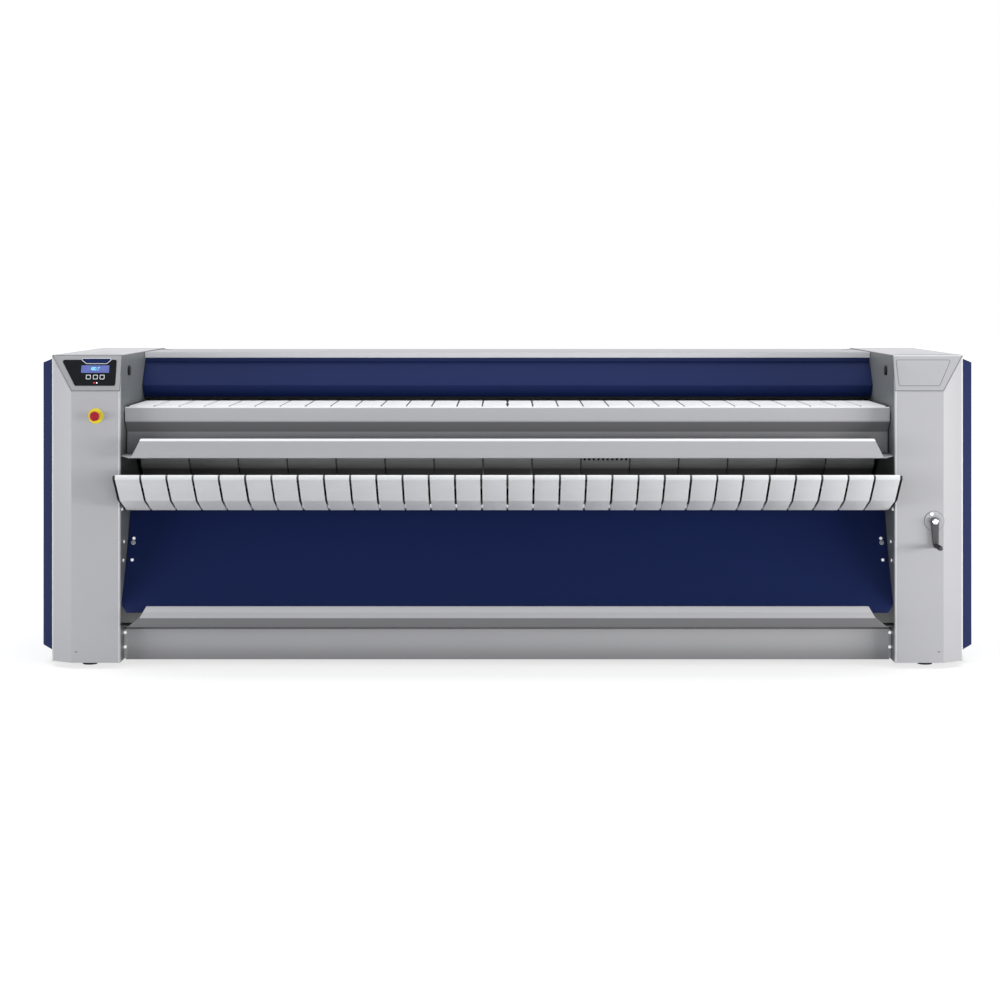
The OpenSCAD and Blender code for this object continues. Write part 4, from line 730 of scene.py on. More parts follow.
def front_cover(name, left):
    """Front cover: its wall runs round the chamfered corner, cut above by the leaning plane.

    Pale strips stand for the light on its folds, and a seam line rings the leaning plate.
    """
    s = sizes()
    shell = Shell(name)
    flat, crease, rise = COLUMN_OUT - s.chamfer_w, COLUMN_H - s.slant_h, slope_length()
    wall = [(COLUMN_IN, COVER_RETURN), (COLUMN_IN, 0.0), (flat, 0.0), (COLUMN_OUT, s.chamfer_d),
            (COLUMN_OUT, s.cover_d)]
    path = rounded_path(wall, s.bend, 5)[0]
    loop = np.concatenate([path, (path + s.sheet * normals_left(path))[::-1]])
    top = np.minimum(crease + s.slant_h / s.chamfer_d * (loop[:, 1] - s.sheet), COLUMN_H - s.sheet)
    rows = [np.column_stack([loop, share * top]) for share in WALL_SHARES]
    shell.grid(place(rows), "silver", wrap_columns=True)
    close_end(shell, rows[0], "silver", True)
    close_end(shell, rows[-1], "silver", False)

    face = slant_axes()
    lean = [(COLUMN_IN + LEAN_GAP, LEAN_GAP), (flat - LEAN_GAP, LEAN_GAP),
            (COLUMN_OUT - LEAN_GAP, rise - LEAN_GAP), (COLUMN_IN + LEAN_GAP, rise - LEAN_GAP)]
    outline = rounded_path(lean, 0.002, 4, closed=True)[0]
    # The left leaning plate takes the darker rim tone, a painted shade; the right one the plain silver.
    plate(shell, outline, s.sheet + LEAN_STAND, "rim" if left else "silver", slant_origin(-s.sheet), face)
    seam_ring(shell, outline, 0.0001, 0.0020, 0.0007)
    if not left:
        upper = rectangle(COLUMN_IN + 0.002, COLUMN_OUT - 0.004, rise - 0.0062, rise - 0.0020, 0.001)
        plate(shell, upper, 0.0008, "pale", slant_origin(), face, HAIR)
    chamfer, length = unit_frame((s.chamfer_d, -s.chamfer_w, 0.0)), math.hypot(s.chamfer_w, s.chamfer_d)
    at_chamfer = np.array([flat, 0.0, 0.0]) - 0.0003 * chamfer[2]
    inner_edge = rectangle(COLUMN_IN + 0.0030, COLUMN_IN + 0.0058, 0.003, crease - 0.002, 0.001)
    outer_edge = rectangle(length - 0.0066, length - 0.0020, 0.003, COLUMN_H - 0.013, 0.001)
    for outline, material, origin, axes in ((inner_edge, "pale", (0, 0.0003, 0), FACING),
                                            (outer_edge, "pale", at_chamfer, chamfer),
                                            (rectangle(*SLOT, 0.0015), "dark", (0, 0.0005, 0), FACING)):
        plate(shell, outline, STRIP, material, origin, axes, HAIR)
    if left:
        shell.flipped()
    shell.finish("frame", "silver_paint", name)


PANEL_RIM, PANEL_SOFT = 0.014, 0.004
PANEL_BEVEL_Y, PANEL_BEVEL_Z = 0.035, 0.016
PANEL_FLOOR_SHARES = (0.0, 0.925, 0.97)


def side_panel(name, left):
    """Bevelled side panel: rounded rectangles that shrink as they stand out from the column.

    The rows run from the middle of the hollow's floor over its wall and mouth, then over the
    rim and the bevel, to the middle of the outer face.
    """
    s = sizes()
    low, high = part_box("right_side_panel")
    y0, y1, z0, z1 = low.y - FRONT_Y, high.y - FRONT_Y, low.z - LOWER_Z, high.z - LOWER_Z
    out = high.x - COLUMN_OUT

    def ring(x, dy, dz, radius):
        flat = rectangle(y0 + dy, y1 - dy, z0 + dz, z1 - dz, radius)
        return np.column_stack([np.full(len(flat), x), flat])

    centre = np.array([COLUMN_OUT + out, 0.5 * (y0 + y1), 0.5 * (z0 + z1)])
    back = centre - (s.sheet, 0.0, 0.0)
    mouth = ring(COLUMN_OUT, s.sheet, s.sheet, 0.001)
    rows = [np.broadcast_to(back, mouth.shape), back + (mouth - back) * PANEL_FLOOR_SHARES, mouth]
    run = [(0.0, 0.0), (0.0, PANEL_RIM), (PANEL_BEVEL_Y, out), (PANEL_BEVEL_Y * 1.6, out)]
    for inset, stand in rounded_path(run, PANEL_SOFT, 6)[0]:
        share, extra = min(1.0, inset / PANEL_BEVEL_Y), max(0.0, inset - PANEL_BEVEL_Y)
        rows.append(ring(COLUMN_OUT + stand, inset, share * PANEL_BEVEL_Z + extra, 0.003))
    rows.append(np.broadcast_to(centre, mouth.shape))
    shell = Shell(name)
    shell.grid(place(rows), "navy", wrap_columns=True)
    if left:
        shell.flipped()
    shell.finish("frame", "navy_paint", name)


def louvre(shell, x0, x1, z0, z1, y, material, stand=0.007):
    """A pressed louvre on a rear face: its hood swells out as a half lens, open along its foot.

    Point (i, k) stands out by stand * sin(pi * i / n) ** 0.5 across the width times a ramp
    from the upper edge to the lip, so the lower edge stays open.
    """
    across = np.linspace(0.0, 1.0, 13)[None]
    up = np.linspace(0.0, 1.0, 5)[:, None]
    swell = np.sin(np.pi * across) ** 0.5 * np.cos(up * np.pi / 2)
    x = x1 + (x0 - x1) * np.broadcast_to(across, swell.shape)
    z = z0 + (z1 - z0) * np.broadcast_to(up, swell.shape)
    points = np.stack([x, y + stand * swell, z], axis=2)
    shell.grid(place(points), material)
    back = points.copy()
    back[:, :, 1] = np.maximum(points[:, :, 1] - 0.0015, y - 0.0005)
    shell.grid(place(back), material, flip=True)
    shell.grid(place(np.stack([back[0], points[0]])), material)


LOUVRE_H, LOUVRE_DROP = 0.015, 0.002
COVER_LOUVRES, COVER_LOUVRE_PITCH = 8, 0.024
PANEL_LOUVRES = [(0.220 * i, 0.760 + 0.040 * j) for i in range(-6, 7) for j in range(6)]


def rear_cover_louvres():
    """Hoods over the slots of the two rear covers, and of the upper rear panel."""
    shell = Shell("rear_louvres")
    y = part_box("column_rear_covers")[1].y - FRONT_Y
    for i in range(COVER_LOUVRES):
        z = COLUMN_H * 0.72 + i * COVER_LOUVRE_PITCH
        for sign in (1.0, -1.0):
            x0, x1 = sorted((sign * (COLUMN_IN + 0.055), sign * (COLUMN_OUT - 0.055)))
            louvre(shell, x0, x1, z - LOUVRE_DROP, z + LOUVRE_H, y, "silver")
    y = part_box("rear_panels")[1].y - FRONT_Y
    for x, z in PANEL_LOUVRES:
        louvre(shell, x - 0.074, x + 0.074, z - LOUVRE_DROP, z + LOUVRE_H, y, "silver")
    shell.finish("frame", "silver_paint")


SKIRT_H, SKIRT_GAP = 0.035, 0.0008


def top_caps():
    """Caps over the columns, as softened plates with the skirts that turn down at the sides."""
    s = sizes()
    shell = Shell("column_caps")
    outline = rectangle(COLUMN_IN, COLUMN_OUT, s.chamfer_d + s.sheet * 1.1, COLUMN_D, 0.003)
    plate(shell, outline, s.sheet, "silver", (0, 0, COLUMN_H - s.sheet), UPWARD, 0.0009)
    skirt = rectangle(s.cover_d + SKIRT_GAP, COLUMN_D - s.rear_cover_d - SKIRT_GAP,
                      COLUMN_H - SKIRT_H, COLUMN_H - 0.0012, 0.002)
    plate(shell, skirt, s.sheet, "silver", (COLUMN_OUT - s.sheet, 0, 0), OUTWARD, 0.0006)
    shell.mirrored()
    shell.finish("frame", "silver_paint", "column_top_caps")


SHEET_BEVEL = 0.0004
GUARD_DROP = -0.0063
GUARD_FOLDS = [(0.694, GUARD_DROP), (0.668, GUARD_DROP), (0.668, 1.227), (0.588, 1.123), (0.639, 1.069),
               (0.640, 1.074)]
TABLE_Y, TABLE_TOP, TABLE_LOW, TABLE_FOLD = 0.100, 1.052, 0.990, 0.005
SHELF_Z, SHELF_LIP, SHELF_Y, SHELF_REAR = 0.854, 0.931, -0.096, 0.290
SHELF_ENDS = [1.502, 1.502, 1.506, 1.540, COLUMN_IN - 0.051] + 4 * [COLUMN_IN]
TRAY_Z, TRAY_STEP = 0.149, 0.129
TRAY_FOLDS = [(-0.014, 0.233), (-0.017, 0.237), (-0.0225, 0.2325), (-0.0350, 0.2125), (-0.045, 0.191),
              (-0.008, TRAY_Z), (0.044, TRAY_Z), (0.104, TRAY_Z), (0.104, TRAY_STEP), (0.150, TRAY_STEP)]
TRAY_CLIPS = (0.114, 0.112, 0.110, 0.099, 0.087, 0.033, 0.0, 0.0, 0.009, 0.009)


def folded_piece(name, node, material, slot, folds, radius, side, halves):
    """A piece that is one folded sheet."""
    shell = Shell(name)
    folded_sheet(shell, folds, sizes().sheet, material, radius, side, halves)
    shell.finish("frame", slot, node, bevel=SHEET_BEVEL)


def guard():
    """Guard over the table: a sheet with two bevels and a turned lower lip."""
    folds = [(y, z if z > 0 else COLUMN_H + z) for y, z in GUARD_FOLDS]
    folded_piece("bevelled_guard", "upper_guard", "navy", "navy_paint", folds, sizes().bend, 1.0,
                 PANEL_HALF)


def table_front():
    """Front of the feed table, its fascia sloping back to the shelf."""
    y, top, low, r = TABLE_Y, TABLE_TOP, TABLE_LOW, TABLE_FOLD
    folds = [(y + 0.016, top), (y + r, top), (y, top - r), (y, low + r), (y + r, low), (0.160, 0.946),
             (0.160, SHELF_Z), (0.190, SHELF_Z)]
    # The table tone paints shade on the fascia and under the bevel, and a highlight on the top fold.
    folded_piece("table_front", "feed_table_panel", "table", "silver_paint", folds, 0.0034, 1.0,
                 PANEL_HALF - 0.0015)


def linen_shelf():
    """Shelf under the table, with a turned lip and clipped front corners."""
    y, z, lip = SHELF_Y, SHELF_Z, SHELF_LIP
    folds = [(y + 0.012, lip - 0.009), (y + 0.008, lip), (y, lip - 0.009), (y, z + 0.001), (y + 0.001, z),
             (0.033, z), (0.200, z), (SHELF_REAR, z), (SHELF_REAR, 0.890)]
    # The shelf tone paints a highlight on the lip's top and a light shade elsewhere.
    folded_piece("linen_shelf", "upper_shelf", "shelf", "silver_paint", folds, 0.0018, -1.0, SHELF_ENDS)


def linen_tray():
    """Lower tray, with a turned lip and clipped front corners."""
    ends = [COLUMN_IN - clip for clip in TRAY_CLIPS]
    # The tray tone paints shade on the lower folds and a highlight on the lip's top.
    folded_piece("linen_tray", "lower_tray", "tray", "silver_paint", TRAY_FOLDS, 0.0018, 1.0, ends)


BEAM_Y, BEAM_REAR, BEAM_H, BEAM_SHEET = 0.090, 0.170, 0.129, 0.003
BEAM_FOLDS = [(BEAM_REAR, 0.115), (BEAM_REAR, BEAM_H), (BEAM_Y, BEAM_H), (BEAM_Y, 0.0), (BEAM_REAR, 0.0),
              (BEAM_REAR, 0.014)]
BRACKET_Z = (0.006, 0.126)


def base_beam():
    """Front base beam, a folded channel, with an angle bracket at each end."""
    shell = Shell("base_beam")
    # The channel's beam tone is painted shade, darker towards the floor.
    folded_sheet(shell, BEAM_FOLDS, BEAM_SHEET, "beam", 0.004, 1.0, COLUMN_IN - 0.009)
    bracket = rectangle(COLUMN_IN - 0.015, COLUMN_IN - 0.0005, *BRACKET_Z, 0.003)
    edge = rectangle(BEAM_Y, 0.160, *BRACKET_Z, 0.002)
    for sign in (1, -1):
        outline = (bracket * (sign, 1.0))[::sign]
        # The brackets' faces take the darker rim tone, a painted shade.
        plate(shell, outline, BEAM_SHEET, "rim", (0, BEAM_Y, 0), FACING)
        x = sign * COLUMN_IN - (BEAM_SHEET if sign > 0 else 0.0)
        plate(shell, edge, BEAM_SHEET, "silver", (x, 0, 0), OUTWARD, 0.0006)
    shell.finish("frame", "silver_paint", "front_base_beam")


LID_TOP, LID_LIP, LID_Y, LID_REAR = COLUMN_H - 0.004, 0.025, 0.654, COLUMN_D - 0.020
PIN_R, PIN_REACH, PIN_Y, PIN_Z = 0.006, 0.010, COLUMN_D - 0.034, COLUMN_H - 0.021
LEAF_RIVETS = [(0.036, 1.140), (0.036, 1.170), (0.014, 1.155)]


def lift_cover():
    """Hinged top cover: a lipped sheet with cheeks, ribs, pins, and leaves with three rivets."""
    s = sizes()
    t, w = s.sheet, PANEL_HALF
    shell = Shell("lift_cover")
    folds = [(LID_Y + 0.008, LID_TOP - LID_LIP), (LID_Y, LID_TOP - LID_LIP), (LID_Y, LID_TOP),
             (LID_REAR, LID_TOP)]
    # The cover tone paints a highlight on the lip and shade on the top.
    folded_sheet(shell, folds, t, "cover", s.bend, -1.0, w)
    cheek = rectangle(0.7000, LID_REAR, LID_TOP - 0.023, LID_TOP - 0.0012, 0.001)
    for x in (w - t, -w):
        plate(shell, cheek, t, "silver", (x, 0, 0), OUTWARD, 0.0005)
    length = COLUMN_IN + PIN_REACH - w + t
    rib = rectangle(0.714, COLUMN_D - 0.060, LID_TOP - 0.014, LID_TOP - 0.0015, 0.001)
    leaf = rectangle(w - 0.046, w - 0.004, 1.120, 1.185, 0.004)
    for sign in (1, -1):
        lathe(shell, [(0, 0), (PIN_R, 0), (PIN_R, length), (0, length)], "steel",
              (sign * (w - t), PIN_Y, PIN_Z), OUTWARD if sign > 0 else INWARD, 24)
        plate(shell, rib, t, "silver", (sign * w / 2, 0, 0), OUTWARD, 0.0005)
        outline = (leaf * (sign, 1.0))[::sign]
        plate(shell, outline, 0.0018, "seam", (0, 0, LID_TOP - 0.0003), UPWARD, 0.0005)
        for inset, y in LEAF_RIVETS:
            rivet = circle(0.0062, 20) + (sign * (w - inset), y)
            # The rivets' bright tone glows faintly, a painted glint.
            plate(shell, rivet, 0.0010, "bright", (0, 0, LID_TOP + 0.0014), UPWARD, 0.0003)
    shell.finish("top_cover", "silver_paint", "top_cover", bevel=SHEET_BEVEL)


SLOPE_LOW, SLOPE_HIGH, SLOPE_BOW = np.array([-0.010, 0.209]), np.array([0.262, 0.634]), 0.026
SLOPE_CLIP_W, SLOPE_CLIP_H = 0.026, 0.030
SLOPE_DISC_SHARE = 0.658


def slope_arc(shares):
    """Points and normals up the bowed sheet: a circle through both edges, its arrow the bow."""
    chord = SLOPE_HIGH - SLOPE_LOW
    length = np.linalg.norm(chord)
    radius = length ** 2 / (8 * SLOPE_BOW) + SLOPE_BOW / 2
    u = chord / length
    n = np.array([u[1], -u[0]])
    half = math.asin(length / 2 / radius)
    a = half * (2 * np.asarray(shares)[:, None] - 1)
    spoke = n * np.cos(a) + u * np.sin(a)
    return 0.5 * (SLOPE_LOW + SLOPE_HIGH) + n * (SLOPE_BOW - radius) + radius * spoke, -spoke


def slope_panel():
    """Bowed slope: the sheet's width grows over the clipped lower corner; a disc at each side."""
    s = sizes()
    line = slope_arc(np.linspace(0.0, 1.0, 29))[0]
    folds = np.vstack([line, SLOPE_HIGH + (0.030, 0.0)])
    climb = folds[:, 1] - SLOPE_LOW[1]
    ends = PANEL_HALF - SLOPE_CLIP_W * np.clip(1.0 - climb / SLOPE_CLIP_H, 0.0, 1.0)
    shell = Shell("slope_sheet")
    folded_sheet(shell, folds, s.sheet, "navy", 0.0005, -1.0, ends)
    shell.finish("frame", "navy_paint", "slope_panel")
    discs = Shell("slope_discs")
    (at,), (out,) = slope_arc([SLOPE_DISC_SHARE])
    face = unit_frame((0.0, *out))
    for x in (PANEL_HALF - 0.022, 0.022 - PANEL_HALF):
        origin = np.array([x, *at]) + 0.0034 * face[2]
        plate(discs, circle(0.0098, 40), 0.0005, "disc", origin, face, HAIR)
    discs.finish("frame", "bright_steel")


def belt_path(wheels, gap, thickness, outward, step=4.0):
    """Closed run of a belt round its wheels, as tangent lines and arcs.

    A wheel is (y, z, radius, side); side +1 lies inside the loop and -1 outside. For signed
    radii ra and rb a distance d apart, the run's angle is atan2(dz, dy) - asin((rb - ra) / d).
    """
    rounds = [(np.array([y, z]), r + gap + outward if side > 0 else -(r + gap + thickness - outward))
              for y, z, r, side in wheels]
    n = len(rounds)

    def run(a, b):
        d = b[0] - a[0]
        return math.atan2(d[1], d[0]) - math.asin((b[1] - a[1]) / np.linalg.norm(d))

    points = []
    for i, wheel in enumerate(rounds):
        into, out = run(rounds[i - 1], wheel), run(wheel, rounds[(i + 1) % n])
        turn = (out - into) % (2 * math.pi)
        if wheel[1] < 0:
            turn = -((into - out) % (2 * math.pi))
        count = max(2, int(abs(math.degrees(turn)) / step))
        a = into + turn * np.linspace(0.0, 1.0, count + 1)
        points.append(wheel[0] + wheel[1] * np.stack([np.sin(a), -np.cos(a)], 1))
    return np.concatenate(points)


def fill_runs(path, most=0.12):
    """Adds points on long straight runs, so that a piece shades evenly."""
    out = []
    for a, b in zip(path, np.roll(path, -1, 0)):
        count = max(1, int(np.linalg.norm(b - a) / most))
        out.append(a + (b - a) * np.arange(count)[:, None] / count)
    return np.concatenate(out)


def belts(shell, wheels, count, thickness, material, gap, drift=0.0003):
    """Flat belts side by side: a softened rectangle carried round the path of its wheels.

    Each belt has its own tiny shift across the machine, from a seeded draw.
    """
    draw = np.random.default_rng(7)
    core = fill_runs(belt_path(wheels, BELT_FIT, thickness, thickness / 2))
    normal = -normals_left(core, closed=True)
    pitch = 2 * BELT_HALF / count
    half = 0.5 * (pitch - gap)
    section = rectangle(-half, half, -thickness / 2, thickness / 2, thickness * 0.3, 2)
    for i in range(count):
        middle = -BELT_HALF + (i + 0.5) * pitch + draw.uniform(-1, 1) * drift
        x = middle + section[:, 0][:, None] + np.zeros(len(core))
        yz = core[None] + section[:, 1][:, None, None] * normal[None]
        points = np.concatenate([x[:, :, None], yz], axis=2)
        shell.grid(place(points.transpose(1, 0, 2)), material, wrap_rows=True, wrap_columns=True,
                   flip=True)


BELT_FIT = 0.0005
NIP_ANGLE = math.radians(120)
NIP_REACH = 0.2395 + 0.045 + 0.003 + 0.001 + 0.001
DRUM_Y, DRUM_Z = 0.870, 0.860
FEED_WHEELS = [(0.136, 1.0315, 0.022, 1), (0.612, 1.0315, 0.022, 1)]
EXIT_WHEELS = [(-0.239, 0.783, 0.009, 1), (-0.113, 0.700, 0.020, 1), (0.049, 0.649, 0.020, 1),
               (0.370, 0.700, 0.020, 1)]
IRONING_WHEELS = [
    (DRUM_Y + NIP_REACH * math.cos(NIP_ANGLE), DRUM_Z + NIP_REACH * math.sin(NIP_ANGLE), 0.045, 1),
    (DRUM_Y, DRUM_Z, 0.2395, -1), (0.480, 0.820, 0.0465, 1), (1.150, 0.330, 0.040, 1),
    (1.223, 0.815, 0.035, -1), (1.170, 1.090, 0.040, 1)]
CENTRE_MARKS, MARK_HALF = [(0.190, 0.330), (0.520, 0.610)], 0.0062
HOOKS, HOOK_ANGLE, LACED_BELT, LACING_INSET = 10, math.radians(192.5), 9, 0.016
HOOK = [(0.0082, 0.0066), (-0.0082, 0.0066), (0.0, -0.0082)]


def feed_belts():
    """Woven belts of the feed table, with the two marks of the table's middle."""
    s = sizes()
    shell = Shell("feed_belt_weave")
    belts(shell, FEED_WHEELS, s.table_belts, s.table_belt, "white_belt", s.belt_gap)
    shell.finish("frame", "white_belt", "feed_belts")
    marks = Shell("centre_marks")
    top = (0, 0, FEED_WHEELS[0][1] + FEED_WHEELS[0][2] + 0.0026)
    for ends in CENTRE_MARKS:
        plate(marks, rectangle(-MARK_HALF, MARK_HALF, *ends, 0.003), 0.0005, "black", top, UPWARD, HAIR)
    marks.finish("frame", "white_belt")


def exit_belts():
    """Woven belts of the exit conveyor."""
    s = sizes()
    shell = Shell("exit_belt_weave")
    belts(shell, EXIT_WHEELS, s.table_belts, s.table_belt, "white_belt", s.exit_gap)
    shell.finish("frame", "white_belt", "exit_belts")


def ironing_belts():
    """Felt belts round the cylinder, with the hooks of one belt's lacing where it shows."""
    s = sizes()
    shell = Shell("ironing_belt_felt")
    belts(shell, IRONING_WHEELS, s.ironing_belts, s.ironing_belt, "grey_belt", s.belt_gap, 0.0002)
    shell.finish("frame", "grey_belt", "ironing_belts")
    lacing = Shell("belt_lacing")
    pitch = 2 * BELT_HALF / s.ironing_belts
    x0 = -BELT_HALF + LACED_BELT * pitch + LACING_INSET
    y, z, radius, _ = IRONING_WHEELS[2]
    out = np.array([0.0, math.cos(HOOK_ANGLE), math.sin(HOOK_ANGLE)])
    hook = rounded_path(HOOK, 0.003, 4, closed=True)[0]
    for i in range(HOOKS):
        x = x0 + i * (pitch - 2 * LACING_INSET) / (HOOKS - 1)
        at = np.array([x, y, z]) + out * (radius + s.ironing_belt + 0.0006)
        plate(lacing, hook, 0.0013, "black", at, unit_frame(out), 0.0005)
    lacing.finish("frame", "grey_belt")


SEGMENTS = {
    "0": "abcdef", "1": "bc", "2": "abged", "3": "abgcd", "4": "fgbc", "5": "afgcd",
    "6": "afgecd", "7": "abc", "8": "abcdefg", "9": "abfgcd",
}


def digit(shell, figure, x, v, height, origin, axes):
    """One seven-segment figure: each segment is a thin softened bar of the figure's outline."""
    w, t, middle = height * 0.55, height * 0.13, height / 2
    gap = t * 0.35
    bars = {"a": (0, height, w, height), "b": (w, middle, w, height), "c": (w, 0, w, middle),
            "d": (0, 0, w, 0), "e": (0, 0, 0, middle), "f": (0, middle, 0, height),
            "g": (0, middle, w, middle)}
    for key in SEGMENTS[figure]:
        x0, y0, x1, y1 = bars[key]
        dx, dy = (-t / 2, gap) if x0 == x1 else (gap, -t / 2)
        outline = rectangle(x + x0 + dx, x + x1 - dx, v + y0 + dy, v + y1 - dy, t * 0.4, 2)
        plate(shell, outline, HAIR, "cyan", origin, axes, 0.00005)


GLASS = [(0.250, 0.861), (0.188, 0.141), (0.021, 0.141), (0.021, 0.861)]
TAB = [(0.171, 0.888), (0.146, 0.760), (0.062, 0.760), (0.040, 0.888)]
BLANK = [(0.020, 0.150), (0.186, 0.150), (0.238, 0.850), (0.014, 0.850)]
GLASS_T, WINDOW_T, TAB_EDGE = 0.0020, 0.0003, 0.0026
WINDOW = [(0.166, 0.497), (0.050, 0.704)]
FIGURES, FIGURE_AT, FIGURE_PITCH, FIGURE_H = "180", (0.036, 0.012), 0.0095, 0.0115
BARS, BAR_AT, BAR_SIZE, BAR_STEP = 3, (0.068, 0.022), (0.010, 0.0015), (0.003, 0.006)
PANEL_LAMPS = [(0.109, "lamp_red"), (0.098, "lamp_white")]
PANEL_KEYS = [("left_button", 0.134), ("middle_button", 0.105), ("right_button", 0.077)]
KEY_SEAT, KEY_T = 0.00195, 0.00205


def panel_glass():
    """Black trapezoid of glass on the left leaning face."""
    shell = Shell("panel_glass")
    outline = rounded_path(on_slant(GLASS, -1), 0.008, 6, closed=True)[0]
    plate(shell, outline, GLASS_T, "glass", slant_origin(), slant_axes(), 0.0006)
    shell.finish("frame", "black_glass", "control_glass")


def display_window():
    """Lit window with three figures and a column of short bars."""
    axes, window = slant_axes(), Shell("display_window")
    (x0, v0), (x1, v1) = on_slant(WINDOW, -1)
    outline = rectangle(x0, x1, v0, v1, 0.002)
    plate(window, outline, WINDOW_T, "display", slant_origin(GLASS_T), axes, 0.0001)
    front = slant_origin(GLASS_T + WINDOW_T)
    for k, figure in enumerate(FIGURES):
        x = x0 + FIGURE_AT[0] + k * FIGURE_PITCH
        digit(window, figure, x, v0 + FIGURE_AT[1], FIGURE_H, front, axes)
    x, v = x0 + BAR_AT[0], v0 + BAR_AT[1]
    for k in range(BARS):
        low = v - BAR_STEP[1] * k
        bar = rectangle(x, x + BAR_SIZE[0] - BAR_STEP[0] * k, low, low + BAR_SIZE[1], 0.0004, 2)
        plate(window, bar, HAIR, "cyan", front, axes, 0.00005)
    window.finish("frame", "display", "display_screen")


def panel_marks():
    """Two lamps under the keys, and the pale-edged tab over the window."""
    axes, marks = slant_axes(), Shell("panel_marks")
    for x, lamp in PANEL_LAMPS:
        spot = circle(0.0026, 20) + on_slant([(x, 0.22)], -1)
        plate(marks, spot, 0.0003, lamp, slant_origin(GLASS_T), axes, 0.0001)
    tab = rounded_path(on_slant(TAB, -1), 0.004, 4, closed=True)[0]
    grown = tab - TAB_EDGE * normals_left(tab, closed=True)
    plate(marks, grown, 0.0023, "print_white", slant_origin(), axes, 0.0003)
    plate(marks, tab, 0.0027, "navy", slant_origin(), axes, 0.0003)
    marks.finish("frame", "black_glass")


def panel_keys():
    """Three caps that stand on the glass, each with a printed frame, on the buttons' bodies."""
    axes = slant_axes()

    def square(half, radius, middle):
        return rectangle(-half, half, -half, half, radius, 5) + middle

    for name, x in PANEL_KEYS:
        key = Shell(name + "_cap")
        middle = on_slant([(x, 0.376)], -1)
        plate(key, square(0.0108, 0.004, middle), KEY_T, "glass", slant_origin(KEY_SEAT), axes, 0.0007)
        ring_frame(key, square(0.0100, 0.0036, middle), square(0.0072, 0.0018, middle), HAIR,
                   "print_white", slant_origin(KEY_SEAT + KEY_T), axes)
        key.finish(name, "black_plastic", name)


def right_inset():
    """Bare raised field on the right leaning face, in a seam line."""
    inset = Shell("right_panel_inset")
    outline = rounded_path(on_slant(BLANK, 1), 0.005, 5, closed=True)[0]
    seam_ring(inset, outline, 0.0024, 0.0, 0.0008)
    plate(inset, outline, 0.0011, "silver", slant_origin(), slant_axes(), 0.0005)
    inset.finish("frame", "silver_paint")


STOP_AT = (0.100, 1.020)
COLLAR = [(0, -0.034), (0.011, -0.034), (0.011, 0.0), (0.0315, 0.0), (0.0315, 0.0022), (0.0300, 0.0032),
          (0.0185, 0.0032), (0.0165, 0.0042)]
NECK = [(0.0165, 0.0042), (0.0150, 0.0046), (0.0140, 0.0060), (0.0140, 0.0140), (0.0130, 0.0142),
        (0.0084, 0.0142)]
LOCK = [(0.0112, -0.008), (0.017, -0.008), (0.017, -0.002), (0.0112, -0.002)]
MUSHROOM = [(0, -0.028), (0.008, -0.028), (0.008, 0.022), (0.0165, 0.0222), (0.0188, 0.0245),
            (0.0200, 0.0290), (0.0199, 0.0330), (0.0180, 0.0372), (0.0130, 0.0396), (0.0060, 0.0400),
            (0.0, 0.0400)]
GRIP_Z, GRIP_SPREAD, GRIP_DEPTH, GRIP_WAVES = 0.0295, 0.0035, 0.018, 18
ARROWS, ARROW_R, ARROW_HALF, ARROW_Z = 3, 0.0116, 0.0006, 0.0398


def emergency_stop():
    """Collar, neck and mushroom as turned profiles, with a scalloped rim and turn arrows."""
    x, z = -(COLUMN_IN + STOP_AT[0]), STOP_AT[1]
    at = (x, 0.0, z)
    collar = Shell("stop_collar")
    lathe(collar, soft_profile(COLLAR, 0.0006, 3), "yellow", at, FACING)
    lathe(collar, NECK, "black", at, FACING)
    lathe(collar, soft_profile(LOCK, 0.0008, 2), "black", at, FACING, 24)
    collar.finish("frame", "yellow_plastic", "emergency_stop_collar")

    knob = Shell("stop_mushroom")
    smooth = np.array(soft_profile(MUSHROOM, 0.0012, 3))

    def scallop(row, angle):
        grip = np.exp(-((smooth[row, 1] - GRIP_Z) / GRIP_SPREAD) ** 2)
        return 1.0 - GRIP_DEPTH * grip * (0.5 - 0.5 * np.cos(GRIP_WAVES * angle))

    lathe(knob, smooth, "red", at, FACING, 144, scallop)
    for k in range(ARROWS):
        start = math.radians(120 * k + 20)
        a = start + np.linspace(0.0, math.radians(62), 10)
        arc = np.stack([np.cos(a), np.sin(a)], 1)
        band = np.concatenate([(ARROW_R + ARROW_HALF) * arc, (ARROW_R - ARROW_HALF) * arc[::-1]])
        middle = ARROW_R * np.array([math.cos(start + 0.54), math.sin(start + 0.54)])
        plate(knob, band, 0.0004, "red", (x, -ARROW_Z, z), FACING, 0.0001, centre=middle)
    knob.finish("stop_knob", "red_plastic", "emergency_stop_knob")


CRANK_X, CRANK_Z, CRANK_ARM, CRANK_SHIFT = 1.763, 0.586, 0.100, 0.004
CRANK_HUB_R, CRANK_END_R, CRANK_T = 0.0165, 0.0115, 0.015
CRANK_HUB = [(0, -0.400), (0.008, -0.400), (0.008, 0.005), (0.0158, 0.005), (0.0158, 0.0310),
             (0.0120, 0.0310)]
CRANK_CAP = [(0.0120, 0.0310), (0.0112, 0.0316), (0.0112, 0.0335), (0.0098, 0.0348), (0.0050, 0.0356),
             (0.0, 0.0358)]
CRANK_PIN = [(0, 0.020), (0.005, 0.020), (0.005, 0.1330), (0.0078, 0.1342), (0.0078, 0.1365),
             (0.0, 0.1380)]
CRANK_GRIP = [(0.0053, 0.0252), (0.0088, 0.0252), (0.0092, 0.0300), (0.0097, 0.0450), (0.0104, 0.0750),
              (0.0104, 0.1050), (0.0096, 0.1230), (0.0084, 0.1310), (0.0068, 0.1328), (0.0053, 0.1328)]
